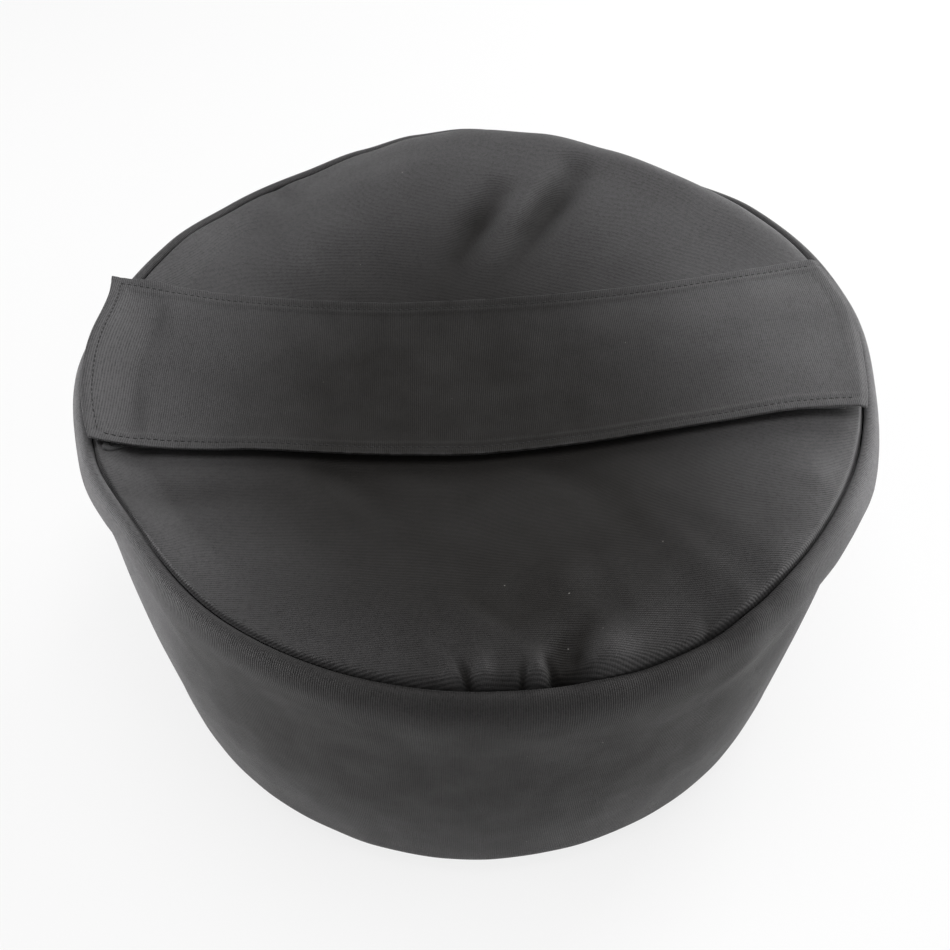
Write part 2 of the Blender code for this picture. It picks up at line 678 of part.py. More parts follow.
def crown():
    """The bridge on the slider's top plate that holds the pull's bar."""
    low = PLATE_OUTER - SLIDER_PLATE / 2
    top = PLATE_OUTER + CROWN_EYE + CROWN_BAR
    half = CROWN_LENGTH / 2
    inner = half - CROWN_BAR
    outline = [
        (-half, low), (-half, PLATE_OUTER + CROWN_EYE), (-inner, top), (inner, top),
        (half, PLATE_OUTER + CROWN_EYE), (half, low), (inner, low),
        (inner, PLATE_OUTER + CROWN_EYE), (-inner, PLATE_OUTER + CROWN_EYE), (-inner, low),
    ]
    tool = bmesh.new()
    width = CROWN_WIDTH / 2
    face = tool.faces.new([tool.verts.new((x, -width, z)) for x, z in outline])
    raised = bmesh.ops.extrude_face_region(tool, geom=[face])
    moved = [item for item in raised["geom"] if isinstance(item, bmesh.types.BMVert)]
    bmesh.ops.translate(tool, verts=moved, vec=(0.0, CROWN_WIDTH, 0.0))
    bmesh.ops.recalc_face_normals(tool, faces=tool.faces[:])
    return add_cutter("slider_crown", tool)


def zip_pull():
    """A flat tab with an eye: its bar lies under the crown, and it points down the closed chain."""
    half, bar = PULL_WIDTH / 2, PULL_BAR / 2
    low, high = -PULL_THICKNESS / 2, PULL_THICKNESS / 2
    waist = half - PULL_BAR / 2
    outline = [
        (bar, -waist), (-CROWN_LENGTH, -waist), (-CROWN_LENGTH - bar, -half),
        (-PULL_LENGTH + half / 2, -half), (-PULL_LENGTH, -half / 2), (-PULL_LENGTH, half / 2),
        (-PULL_LENGTH + half / 2, half), (-CROWN_LENGTH - bar, half), (-CROWN_LENGTH, waist),
        (bar, waist),
    ]
    pull = add_object("zip_pull", prism(outline, low, high), PARTS, METAL)
    eye_end = -CROWN_LENGTH / 2 - CHAIN_CLEARANCE - PULL_BAR
    eye_half = CROWN_WIDTH / 2 + CHAIN_CLEARANCE
    eye_size = (-bar - eye_end, 2 * eye_half, PULL_THICKNESS * 3)
    eye = add_cutter("pull_eye", box(((eye_end - bar) / 2, 0.0, 0.0), eye_size))
    combine(pull, eye, "DIFFERENCE")
    for obj in (pull, eye):
        obj.parent = bpy.data.objects["pull_pivot"]


def flap_x(column, y):
    """Where a column of the flap lies at y: its left end slants, and all its layers share its columns."""
    slant = (y + FLAP_WIDTH / 2) / FLAP_WIDTH
    left = FLAP_FRONT_TUCK - SEAM_RADIUS - (FLAP_FRONT_TUCK + FLAP_REAR_OVERHANG) * slant
    return left + (SEAM_RADIUS - FLAP_RIGHT_TUCK - left) * crowded(column / FLAP_COLUMNS)


def flap_sheet(name, ends_y, row_shares, base, thickness, end_columns, finish):
    """A layer of the flap between two lines along X, its underside at the height that base gives."""
    rows = len(row_shares) - 1
    columns = FLAP_COLUMNS - 2 * end_columns

    def place(u, v):
        y = ends_y[0] + (ends_y[1] - ends_y[0]) * row_shares[round(v * rows)]
        x = flap_x(end_columns + round(u * columns), y)
        return Vector((x, y, base(x, y)))

    return add_object(name, sheet(columns, rows, place, thickness), PARTS, finish)


def flap():
    """The cover flap, hinged where it is sewn down behind, with hook tape over its whole underside."""
    front = -FLAP_WIDTH / 2
    hook_front = front + HOOK_FRONT_INSET
    hook_base = LOOP_GAP + LOOP_THICKNESS + LAYER_GAP

    def under_flap(x, y):
        raised = smooth((SEWN_Y - y) / FLAP_SEWN_RAMP)
        stack = LAYER_GAP + (FLAP_STACK - LAYER_GAP) * raised
        return SEAM_HEIGHT + cover(x, y) + stack + flap_rise(x, y)

    def under_hook(x, y):
        return SEAM_HEIGHT + cover(x, y) + hook_base + flap_rise(x, y)

    def on_top(x, y):
        return SEAM_HEIGHT + cover(x, y) + LAYER_GAP

    ramp_share = 1.0 - FLAP_SEWN_RAMP / (SEWN_Y - front)
    shares = [ramp_share * share for share in FLAP_ROW_SHARES] + [1.0]
    cover_flap = flap_sheet(
        "flap_cover", (front, SEWN_Y), shares, under_flap, FLAP_THICKNESS, 0, FABRIC
    )
    hook = flap_sheet(
        "flap_hook_tape", (hook_front, HOOK_BACK_Y), FLAP_ROW_SHARES, under_hook,
        HOOK_THICKNESS, HOOK_END_COLUMNS, HOOK_TAPE,
    )
    flap_sheet(
        "flap_sewn_hem", (SEWN_Y + PIECE_GAP, FLAP_WIDTH / 2), (0.0, 1.0), on_top,
        FLAP_THICKNESS, 0, FABRIC,
    )
    highest = max(vert.co.z for vert in cover_flap.data.vertices)
    hinge = bpy.data.objects.new("flap_hinge", None)
    hinge.location = (0.0, SEWN_Y, highest + PIECE_GAP)
    PARTS.objects.link(hinge)
    for obj in (cover_flap, hook):
        obj.data.transform(hinge.matrix_basis.inverted())
        obj.parent = hinge


def flap_loop_tape():
    """Loop tape from the flap's front edge to the zip's valley, which the hook tape closes on."""

    def on_panel(x, y):
        return top_height(x, y) + LOOP_GAP

    flap_sheet(
        "flap_loop_tape", (LOOP_FRONT_Y, LOOP_BACK_Y), LOOP_ROW_SHARES, on_panel,
        LOOP_THICKNESS, LOOP_END_COLUMNS, LOOP_TAPE,
    )


def liner_level(radius):
    """Height of the liner's top before it leans: a bowl with a pocket for the folded neck."""
    outside = smooth((radius - NECK_POCKET_INNER) / (NECK_POCKET_OUTER - NECK_POCKET_INNER))
    drop = CHAIN_DROP + PLATE_OUTER + LINER_ZIP_ROOM + NECK_POCKET_DEPTH * (1.0 - outside)
    return ZIP_FLOOR_Z + bowl(radius) - drop


def leant(x, y, z):
    """The height z moved with the dish, whose lowest point isn't in the middle; the base stays."""
    inside = LINER_SHOULDER / max(LINER_SHOULDER, math.hypot(x, y))
    x, y = x * inside, y * inside
    return z + (bowl(math.hypot(x - ZIP_AXIS_X, y)) - bowl(math.hypot(x, y))) * z / SEAM_HEIGHT


def liner_top(x, y):
    return leant(x, y, liner_level(math.hypot(x, y)))


def liner_outline(inset):
    """The liner's outline from its neck, out over its top and down to the middle of its base."""
    bottom = WALL_THICKNESS + PIECE_GAP
    stations = (LINER_NECK_RADIUS, NECK_POCKET_INNER, NECK_POCKET_OUTER, LINER_SHOULDER)
    bowl_radii = [LINER_NECK_RADIUS]
    for near, far in zip(stations, stations[1:]):
        bowl_radii += [near + (far - near) * step / BOWL_STEPS for step in range(1, BOWL_STEPS + 1)]
    points = [(radius, liner_level(radius) - inset) for radius in bowl_radii]
    top_centre = (LINER_SHOULDER, liner_level(LINER_SHOULDER) - LINER_TOP_CORNER)
    points += arc_points(top_centre, LINER_TOP_CORNER - inset, math.pi / 2, 0.0, 4)[1:]
    base_centre = (LINER_LOW_RADIUS - LINER_BASE_CORNER, bottom + LINER_BASE_CORNER)
    points += arc_points(base_centre, LINER_BASE_CORNER - inset, 0.0, -math.pi / 2, 4)
    return points + [(0.0, bottom + inset)]


def leaning(name, profile, finish):
    """An outline turned about Z in the mesh itself, and then leant with the dish."""
    tool = bmesh.new()
    points = [tool.verts.new((radius, 0.0, height)) for radius, height in profile]
    edges = [tool.edges.new(pair) for pair in zip(points, points[1:])]
    bmesh.ops.spin(
        tool, geom=points + edges, cent=(0.0, 0.0, 0.0), axis=(0.0, 0.0, 1.0),
        angle=2 * math.pi, steps=LINER_STEPS, use_merge=True,
    )
    bmesh.ops.remove_doubles(tool, verts=tool.verts, dist=MERGE_DISTANCE)
    bmesh.ops.recalc_face_normals(tool, faces=tool.faces[:])
    lowest = min(tool.faces, key=lambda face: face.calc_center_median().z)
    if lowest.normal.z > 0.0:
        bmesh.ops.reverse_faces(tool, faces=tool.faces[:])
    for vert in tool.verts:
        vert.co.z = leant(*vert.co)
    return add_object(name, tool, PARTS, finish)


def liner_and_sand():
    give_wall(leaning("liner_bag", liner_outline(0.0), LINER), LINER_THICKNESS)
    inset = LINER_THICKNESS + SAND_GAP
    outline = [(0.0, liner_level(0.0) - inset)] + liner_outline(inset)
    leaning("sand_fill", outline, SAND)


def ribbon(name, path, width, finish, thickness, across_x):
    """A band of fabric along a path of (distance, height over the liner's top), bent with the liner."""
    points = len(path) - 1

    def place(u, v):
        along, height = path[round(v * points)]
        aside = (u - 0.5) * width
        x, y = (aside, along) if across_x else (along, aside)
        return Vector((x, y, liner_top(x, y) + height))

    tool = sheet(RIBBON_COLUMNS, points, place, 0.0)
    give_wall(add_object(name, tool, PARTS, finish), thickness, 0.0)


def liner_neck():
    """The filler neck: a flattened sleeve folded over itself on the liner's top, held by a strap."""
    ply = NECK_PLY + NECK_PLY_GAP
    half = NECK_FOLD_LENGTH / 2
    first = LAYER_GAP + NECK_PLY / 2
    path = []
    for layer in range(NECK_LAYERS):
        height = first + layer * ply
        direction = 1 if layer % 2 == 0 else -1
        spots = [half * (2 * step / NECK_STEPS - 1) * direction for step in range(NECK_STEPS + 1)]
        path += [(spot, height) for spot in spots]
        if layer < NECK_LAYERS - 1:
            path.append((direction * (half + ply / 2), height + ply / 2))
    ribbon("liner_neck", path, NECK_WIDTH, LINER, NECK_PLY, True)
    top = first + (NECK_LAYERS - 1) * ply + NECK_PLY / 2
    low = LAYER_GAP + STRAP_THICKNESS / 2
    shoulder = NECK_WIDTH / 2 + STRAP_SHOULDER
    for name, side, level in (("liner_strap_loop", -1, 0), ("liner_strap_hook", 1, 1)):
        high = top + low + level * (STRAP_THICKNESS + LAYER_GAP)
        inner = STRAP_OVERLAP / 2
        spots = [inner - (inner + shoulder) * step / NECK_STEPS for step in range(NECK_STEPS + 1)]
        path = [(spot, high) for spot in spots]
        path.append((-shoulder - STRAP_RAMP, low))
        path.append((-shoulder - STRAP_RAMP - STRAP_ANCHOR, low))
        path = [(-side * spot, height) for spot, height in path]
        finish = HOOK_TAPE if level else LOOP_TAPE
        ribbon(name, path, STRAP_WIDTH, finish, STRAP_THICKNESS, False)


clear_scene()
PARTS = new_collection("sandbag_trainer")
CUTTERS = new_collection("cutters", hidden=True)
FABRIC = material("ribbed_nylon", BLACK_FABRIC, 0.62)
WEBBING = material("woven_tape", BLACK_TAPE, 0.75)
HOOK_TAPE = material("hook_tape", BLACK_TAPE, 0.55)
LOOP_TAPE = material("loop_tape", BLACK_TAPE, 0.90)
PLASTIC = material("moulded_plastic", BLACK_PLASTIC, 0.40)
METAL = material("enamelled_zinc", BLACK_METAL, 0.30)
LINER = material("coated_liner", GREY_LINER, 0.50)
SAND = material("dry_sand", SAND_COLOUR, 0.95)

side_wall()
base_panel()
base_seam_binding()
top_seam_binding()
wall_seam_strip()
top_panel("top_panel_front", -1, FRONT_ROW_SHARES)
top_panel("top_panel_rear", 1, REAR_ROW_SHARES)
zip_tape("zip_tape_front", -1)
zip_tape("zip_tape_rear", 1)
zip_stops()
zip_end_tab("zip_end_tab_left", -1)
zip_end_tab("zip_end_tab_right", 1)
slider_frame()
zip_slider()
zip_pull()
flap()
flap_loop_tape()
liner_and_sand()
liner_neck()
bpy.context.view_layer.update()
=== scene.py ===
import math
import random

import bmesh
import bpy
from mathutils import Matrix, Vector, noise


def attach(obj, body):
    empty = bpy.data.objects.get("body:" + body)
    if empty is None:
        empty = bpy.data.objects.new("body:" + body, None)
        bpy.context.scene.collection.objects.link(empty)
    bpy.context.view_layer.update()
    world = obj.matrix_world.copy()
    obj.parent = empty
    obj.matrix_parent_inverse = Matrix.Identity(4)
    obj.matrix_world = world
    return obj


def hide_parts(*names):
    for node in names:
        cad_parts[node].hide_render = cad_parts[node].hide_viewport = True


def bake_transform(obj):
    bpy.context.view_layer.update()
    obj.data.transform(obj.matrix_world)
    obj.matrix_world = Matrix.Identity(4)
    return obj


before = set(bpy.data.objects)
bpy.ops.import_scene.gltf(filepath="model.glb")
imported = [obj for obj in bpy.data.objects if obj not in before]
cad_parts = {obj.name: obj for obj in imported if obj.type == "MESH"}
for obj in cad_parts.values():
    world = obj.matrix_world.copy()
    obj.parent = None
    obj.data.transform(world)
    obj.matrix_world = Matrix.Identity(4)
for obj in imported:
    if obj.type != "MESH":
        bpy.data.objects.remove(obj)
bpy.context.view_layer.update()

UP = Vector((0.0, 0.0, 1.0))

# Camera: it looks down into the dished top from the flap's free side, as a person in front of the bag
# would, close enough for the base to look smaller than the rim.
CAMERA_PLACE = Vector((-0.01861, -0.39453, 0.58015))
CAMERA_AIM = Vector((-0.00256, -0.01152, 0.11858))
CAMERA_LENS = 39.41

camera = bpy.data.objects.new("Camera", bpy.data.cameras.new("Camera"))
bpy.context.scene.collection.objects.link(camera)
camera.data.lens = CAMERA_LENS
camera.data.clip_start = 0.01
camera.location = CAMERA_PLACE
camera.rotation_euler = (CAMERA_AIM - CAMERA_PLACE).to_track_quat("-Z", "Y").to_euler()
bpy.context.scene.camera = camera


# Side wall: one length of black ribbed nylon closed in a ring behind and sewn to the top and the base.
# The sand fills it out to a drum whose upper edge rolls over the sunken seam. The cloth gives a little
# between its ribs, so the roll dips and lifts along the seam and the drum is never quite round.
SEAM_RADIUS = 0.195
SEAM_HEIGHT = 0.206
SEAM_GAP = 0.0003
# The wall's outline as (radius, height), from the seam's groove over the roll down to the base corner.
WALL_OUTLINE = (
    (0.1953, 0.2034), (0.1957, 0.2047), (0.1969, 0.2056), (0.1988, 0.2056), (0.2009, 0.2043),
    (0.2027, 0.2018), (0.2040, 0.1982), (0.2047, 0.1937), (0.2049, 0.1882), (0.2045, 0.1812),
    (0.2036, 0.1730), (0.2027, 0.1640), (0.2016, 0.1500), (0.2007, 0.1250), (0.2000, 0.1000),
    (0.1993, 0.0700), (0.1988, 0.0450), (0.1985, 0.0300),
)
GROOVE_DEPTH = 0.0026
WALL_RADIUS = 0.2010
WALL_LOW_RADIUS = 0.1985
CORNER_RADIUS = 0.030
CORNER_SWEEP = math.radians(60)
NYLON_THICKNESS = 0.0015
RIB_PITCH = 0.00100
PICK_PITCH = 0.00075
NYLON_BLACK = (0.0100, 0.0090, 0.0082, 1.0)
# Painted light: the paler grey that the nylon's colour is lifted towards where the lamps and the cloth's
# sheen would brighten it.
NYLON_PAINTED_LIGHT = (0.1900, 0.1870, 0.1930, 1.0)
NYLON_WORN = (0.085, 0.084, 0.086, 1.0)
LINT_GREY = (0.20, 0.19, 0.18, 1.0)
# How far the filled rim has risen, and how far it stands out, by its angle in degrees from the flap's
# right end.
RIM_LIFTS = (
    (-180, 0.0), (-150, 0.0), (-120, -0.0010), (-90, -0.0004), (-80, -0.0022), (-71, -0.0058),
    (-62, -0.0062), (-55, -0.0014), (-48, 0.0020), (-36, 0.0020), (-22, 0.0), (16, 0.0020), (34, 0.0010),
    (50, -0.0044), (62, -0.0022), (76, 0.0020), (90, 0.0046), (99, 0.0024), (109, -0.0018),
    (121, -0.0050), (136, -0.0042), (150, -0.0008), (164, -0.0004), (180, 0.0),
)
RIM_PULLS = (
    (-180, 0.0050), (-162, 0.0016), (-145, -0.0030), (-125, -0.0005), (-95, 0.0), (-60, -0.0010),
    (-35, -0.0022), (-12, -0.0004), (8, 0.0034), (24, 0.0046), (45, 0.0032), (62, 0.0), (105, 0.0014),
    (125, 0.0004), (150, 0.0008), (166, 0.0018), (180, 0.0050),
)
BASE_DRIFT = -0.0020
SLUMP_INNER, SLUMP_LOW = 0.105, 0.070
# Dents and bellies of the wall: angle in degrees, height, spread along and up, and depth outwards.
WALL_DENTS = (
    (-148, 0.170, 0.034, 0.026, -0.0052),
    (-41, 0.164, 0.024, 0.014, -0.0030),
    (-25, 0.183, 0.034, 0.016, 0.0030),
    (-58, 0.176, 0.018, 0.012, 0.0014),
    (-120, 0.080, 0.110, 0.050, 0.0016),
    (-60, 0.075, 0.100, 0.050, 0.0018),
    (80, 0.110, 0.120, 0.060, 0.0015),
    (170, 0.100, 0.080, 0.050, -0.0014),
    (15, 0.090, 0.080, 0.045, -0.0012),
)


def eased(share):
    share = min(1.0, max(0.0, share))
    return share * share * (3.0 - 2.0 * share)


def hump(distance, width):
    """A round rise of 1 in its middle, nearly gone at twice its width."""
    return math.exp(-((distance / width) ** 2))


def turn_from(angle, degrees):
    """How far an angle lies from a direction in degrees, the short way round."""
    return math.remainder(angle - math.radians(degrees), 2 * math.pi)


def at_angle(radius, angle, height):
    return Vector((radius * math.cos(angle), radius * math.sin(angle), height))


def from_table(table, place):
    """A smooth curve through a table of (place, value)."""
    for (near, low), (far, high) in zip(table, table[1:]):
        if place <= far:
            return low + (high - low) * eased((place - near) / (far - near))
    return table[-1][1]


def slumped(point):
    """Where a point of the full round bag has gone in the real, settled one."""
    radius = math.hypot(point.x, point.y)
    if radius < 0.02:
        return point
    angle = math.degrees(math.atan2(point.y, point.x))
    outer = eased((radius - SLUMP_INNER) / (SEAM_RADIUS - SLUMP_INNER))
    high = eased((point.z - SLUMP_LOW) / (SEAM_HEIGHT - SLUMP_LOW))
    wider = 1.0 + from_table(RIM_PULLS, angle) * outer * high**2 / radius
    lift = from_table(RIM_LIFTS, angle) * outer * high
    drift = BASE_DRIFT * (1.0 - high)
    return Vector((point.x * wider + drift, point.y * wider, point.z + lift))


def smooth_outline(points, spacing):
    """A curve through the points of an outline, as points at about that spacing."""
    made = []
    for number in range(len(points) - 1):
        before, near = Vector(points[max(0, number - 1)]), Vector(points[number])
        far, after = Vector(points[number + 1]), Vector(points[min(len(points) - 1, number + 2)])
        parts = max(2, round((far - near).length / spacing))
        for part in range(parts):
            t = part / parts
            bend = (2 * near - 2 * far) * t**3 + (3 * far - 3 * near) * t * t
            ease = ((far - before) * (t - 2 * t * t + t**3) + (after - near) * (t**3 - t * t)) / 2
            made.append(tuple(near + bend + ease))
    return made + [tuple(points[-1])]


def arc(centre, radius, start, end, steps):
    angles = [start + (end - start) * step / steps for step in range(steps + 1)]
    return [(centre[0] + radius * math.cos(a), centre[1] + radius * math.sin(a)) for a in angles]


def walk(points, spacing):
    """The points of an outline at about that spacing, each with its distance from the start."""
    made = [(points[0][0], points[0][1], 0.0)]
    for (r0, z0), (r1, z1) in zip(points, points[1:]):
        length = math.hypot(r1 - r0, z1 - z0)
        parts = max(1, round(length / spacing))
        start = made[-1][2]
        made += [(r0 + (r1 - r0) * p / parts, z0 + (z1 - z0) * p / parts, start + length * p / parts)
                 for p in range(1, parts + 1)]
    return made


def row_at(rows, v):
    return rows[round(v * (len(rows) - 1))]


def cloth(columns, rows, lay):
    """A grid of cloth laid where lay(u, v) says: a point, and its place on the flat cloth in metres."""
    tool = bmesh.new()
    bmesh.ops.create_grid(tool, x_segments=columns, y_segments=rows, size=0.5)
    flat = tool.loops.layers.uv.new("Cloth")
    laid = {vert: lay(vert.co.x + 0.5, vert.co.y + 0.5) for vert in tool.verts}
    for face in tool.faces:
        for corner in face.loops:
            corner[flat].uv = laid[corner.vert][1]
    for vert, (point, _) in laid.items():
        vert.co = point
    bmesh.ops.remove_doubles(tool, verts=tool.verts, dist=0.00002)
    bmesh.ops.recalc_face_normals(tool, faces=tool.faces[:])
    return tool


def turn_outwards(tool, outwards):
    """Turns the faces round if most of them face against the direction that outwards(point) gives."""
    facing = sum(face.normal.dot(outwards(face.calc_center_median())) for face in tool.faces)
    if facing < 0.0:
        bmesh.ops.reverse_faces(tool, faces=tool.faces[:])


def piece_of(name, tool, finish, thickness=0.0, offset=-1.0):
    """A piece at the origin, smooth except at sharp edges; an open cloth gets its thickness here."""
    mesh = bpy.data.meshes.new(name)
    tool.to_mesh(mesh)
    tool.free()
    piece = bpy.data.objects.new(name, mesh)
    bpy.context.scene.collection.objects.link(piece)
    mesh.materials.append(finish)
    if thickness:
        wall = piece.modifiers.new("Thickness", "SOLIDIFY")
        wall.thickness, wall.offset, wall.use_even_offset = thickness, offset, True
        bpy.context.view_layer.update()
        thick = bpy.data.meshes.new_from_object(piece.evaluated_get(bpy.context.evaluated_depsgraph_get()))
        piece.modifiers.clear()
        piece.data = thick
        thick.name = name
    piece.data.shade_smooth()
    piece.data.set_sharp_from_angle(angle=math.radians(50))
    return piece


def feed_in(socket, feed):
    """Links another node's output to a socket, or sets the socket's own value."""
    if isinstance(feed, bpy.types.NodeSocket):
        socket.id_data.links.new(feed, socket)
    else:
        socket.default_value = feed


def shader_step(tree, kind, feeds=(), **settings):
    """A shader node with its settings, whose inputs take a number or another node's output."""
    made = tree.nodes.new("ShaderNode" + kind)
    for key, value in settings.items():
        setattr(made, key, value)
    for key, feed in feeds:
        feed_in(made.inputs[key], feed)
    return made


def maths(tree, operation, first, second=0.0, third=0.0):
    feeds = ((0, first), (1, second), (2, third))
    return shader_step(tree, "Math", feeds, operation=operation).outputs[0]


def blended(tree, share, low, high):
    """One colour turning into another."""
    made = shader_step(tree, "Mix", data_type="RGBA")
    for name, kind, feed in (("Factor", "VALUE", share), ("A", "RGBA", low), ("B", "RGBA", high)):
        feed_in(next(s for s in made.inputs if s.name == name and s.type == kind), feed)
    return next(s for s in made.outputs if s.type == "RGBA")


def weighed(tree, *parts):
    """The sum of some values, each times its weight."""
    total = 0.0
    for value, weight in parts:
        total = maths(tree, "MULTIPLY_ADD", value, weight, total)
    return total


def wave(tree, turns):
    return maths(tree, "MULTIPLY_ADD", maths(tree, "SINE", turns), 0.5, 0.5)


def cloudy(tree, where, scale, detail=3.0, roughness=0.55):
    feeds = (("Vector", where), ("Scale", scale), ("Detail", detail), ("Roughness", roughness))
    return shader_step(tree, "TexNoise", feeds).outputs["Fac"]


def spread(tree, value, low, high, to_low=0.0, to_high=1.0):
    feeds = (("Value", value), ("From Min", low), ("From Max", high), ("To Min", to_low), ("To Max", to_high))
    return shader_step(tree, "MapRange", feeds, clamp=True).outputs["Result"]


def in_space(tree):
    return shader_step(tree, "TexCoord").outputs["Object"]


def on_cloth(tree):
    """The two axes of the flat cloth, in metres."""
    flat = shader_step(tree, "UVMap", uv_map="Cloth").outputs["UV"]
    return shader_step(tree, "SeparateXYZ", (("Vector", flat),)).outputs[:2]


def emboss(tree, shader, strength, distance, height):
    feeds = (("Strength", strength), ("Distance", distance), ("Height", height))
    feed_in(shader.inputs["Normal"], shader_step(tree, "Bump", feeds).outputs["Normal"])


def shade(colour, share):
    """The same colour, darker or lighter by a share."""
    return tuple(share * value for value in colour[:3]) + (1.0,)


def new_finish(name, roughness, sheen=0.0, metallic=0.0):
    made = bpy.data.materials.new(name)
    made.use_nodes = True
    shader = made.node_tree.nodes["Principled BSDF"]
    shader.inputs["Roughness"].default_value = roughness
    shader.inputs["Metallic"].default_value = metallic
    shader.inputs["Sheen Weight"].default_value = sheen
    shader.inputs["Sheen Roughness"].default_value = 0.38
    return made, made.node_tree, shader


def ribbed_nylon(name, sheen, ribs_along=1):
    """Black nylon with raised ribs along one direction of the cloth, rubbed by hands, with painted light
    lifting its colour towards a paler grey and painted shade between its ribs.
    """
    made, tree, shader = new_finish(name, 0.62, sheen=sheen)
    shader.inputs["Specular IOR Level"].default_value = 0.10
    space, axes = in_space(tree), on_cloth(tree)
    across, along = axes[1 - ribs_along], axes[ribs_along]
    turns = weighed(tree, (cloudy(tree, space, 38.0, 2.0), 1.2), (across, 2 * math.pi / RIB_PITCH))
    rib = wave(tree, turns)
    pick = wave(tree, weighed(tree, (turns, 0.5), (along, 2 * math.pi / PICK_PITCH)))
    grain = cloudy(tree, space, 1500.0, 2.0)
    emboss(tree, shader, 0.65, 0.00036, weighed(tree, (grain, 0.5), (pick, 0.22), (rib, 0.62)))
    tone = spread(tree, cloudy(tree, space, 13.0, 4.0, 0.6), 0.3, 0.7, 0.08, 0.16)
    fibres = spread(tree, grain, 0.36, 0.64, 0.0, 0.44)
    slubs = spread(tree, cloudy(tree, space, 520.0, 2.0), 0.34, 0.66, 0.0, 0.34)
    # The rib wave in this mix darkens the colour between the ribs: painted shade of the ribs. The fibres,
    # slubs and tone are the cloth's own uneven colour.
    depth = weighed(tree, (fibres, 1.0), (slubs, 1.0), (tone, 1.0), (rib, 0.70))
    # Painted light: this attribute lifts the colour from black towards the paler grey, standing in for the
    # lamps, the sheen and the floor's light.
    painted_light = shader_step(tree, "Attribute", attribute_name="PaintedLight").outputs["Fac"]
    black_tone = blended(tree, depth, shade(NYLON_BLACK, 0.10), NYLON_BLACK)
    base = blended(tree, painted_light, black_tone, blended(tree, depth, shade(NYLON_PAINTED_LIGHT, 0.22), NYLON_PAINTED_LIGHT))
    wear = shader_step(tree, "Attribute", attribute_name="Handled").outputs["Fac"]
    rubbed = maths(tree, "MULTIPLY", wear, spread(tree, cloudy(tree, space, 160.0, 3.0), 0.35, 0.7))
    base = blended(tree, rubbed, base, NYLON_WORN)
    specks = shader_step(tree, "TexVoronoi", (("Vector", space), ("Scale", 62.0)))
    speck = maths(tree, "MULTIPLY", spread(tree, specks.outputs["Distance"], 0.016, 0.028, 1.0, 0.0),
                  spread(tree, cloudy(tree, space, 9.0), 0.5, 0.56))
    feed_in(shader.inputs["Base Color"], blended(tree, speck, base, LINT_GREY))
    feed_in(shader.inputs["Roughness"], spread(tree, cloudy(tree, space, 46.0), 0.3, 0.7, 0.56, 0.72))
    return made


def on_bag(piece, slot, *nodes):
    """A piece that rides on the bag: its material slot, which is not used, and the CAD nodes that it
    replaces.
    """
    if nodes:
        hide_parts(*nodes)
    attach(piece, "bag")


def mark_wear_and_painted_light(piece, how_rubbed, how_painted_light):
    """Stores how rubbed the cloth is at each point, and how much painted light lifts its colour, for its
    finish.
    """
    for name, how_much in (("Handled", how_rubbed), ("PaintedLight", how_painted_light)):
        mark = piece.data.attributes.new(name, "FLOAT", "POINT")
        mark.data.foreach_set("value", [how_much(vert.co) for vert in piece.data.vertices])


def wall_painted_light(point):
    """Painted light on the wall: how far its colour is lifted towards a paler grey, most on its sides and at
    its roll, less behind and least on its front.
    """
    away = abs(turn_from(math.atan2(point.y, point.x), -90))
    high = eased((point.z - 0.030) / 0.080) * (1.0 - 0.6 * eased((point.z - 0.165) / 0.030))
    rim = eased((point.z - 0.178) / 0.014) * (0.06 + 0.06 * eased((away - 0.25) / 0.60))
    # Painted light from the floor, growing towards the bottom of the wall.
    floor_bounce_light = 0.05 + 0.22 * (1.0 - eased((point.z - 0.010) / 0.120))
    sides = 0.36 * eased((away - 0.40) / 0.85) + 0.30 * high * eased((away - 0.70) / 0.40)
    return sides * (1.0 - 0.7 * eased((away - 1.45) / 0.60)) + rim + floor_bounce_light


def wall_bulge(angle, height):
    """How far the wall stands out of its plain outline, from dents, bellies and soft waves."""
    out = 0.0
    for degrees, level, along, up, depth in WALL_DENTS:
        turn = turn_from(angle, degrees) * WALL_RADIUS
        out += depth * math.exp(-((turn / along) ** 2) - ((height - level) / up) ** 2)
    way = Vector((math.cos(angle), math.sin(angle), 0.0))
    waves = noise.noise(way * 2.6 + Vector((0.0, 0.0, height * 9.0)))
    ripples = noise.noise(way * 9.0 + Vector((4.0, 0.0, height * 16.0)))
    held = eased(height / 0.04) * eased((SEAM_HEIGHT - height) / 0.02)
    return out + held * (0.0016 * waves + 0.0007 * ripples)


outline = smooth_outline(WALL_OUTLINE, 0.0030)
outline += arc((WALL_LOW_RADIUS - CORNER_RADIUS, CORNER_RADIUS), CORNER_RADIUS, 0.0, -CORNER_SWEEP, 12)[1:]
wall_rows = walk(outline, 0.0030)
RIBS_ROUND = round(2 * math.pi * WALL_RADIUS / RIB_PITCH)


def lay_wall(u, v):
    radius, height, down = row_at(wall_rows, v)
    angle = 2 * math.pi * u - math.pi / 2
    radius += wall_bulge(angle, height)
    return slumped(at_angle(radius, angle, height)), (u * RIBS_ROUND * RIB_PITCH, down)


tool = cloth(420, len(wall_rows) - 1, lay_wall)
turn_outwards(tool, lambda point: Vector((point.x, point.y, 0.0)))
wall_nylon = ribbed_nylon("ribbed_nylon", 0.07)
wall = piece_of("wall_cloth", tool, wall_nylon, NYLON_THICKNESS)
mark_wear_and_painted_light(wall, lambda point: eased((point.z - 0.204) / 0.005) * 0.35, wall_painted_light)
on_bag(wall, "ribbed_nylon", "side_wall")


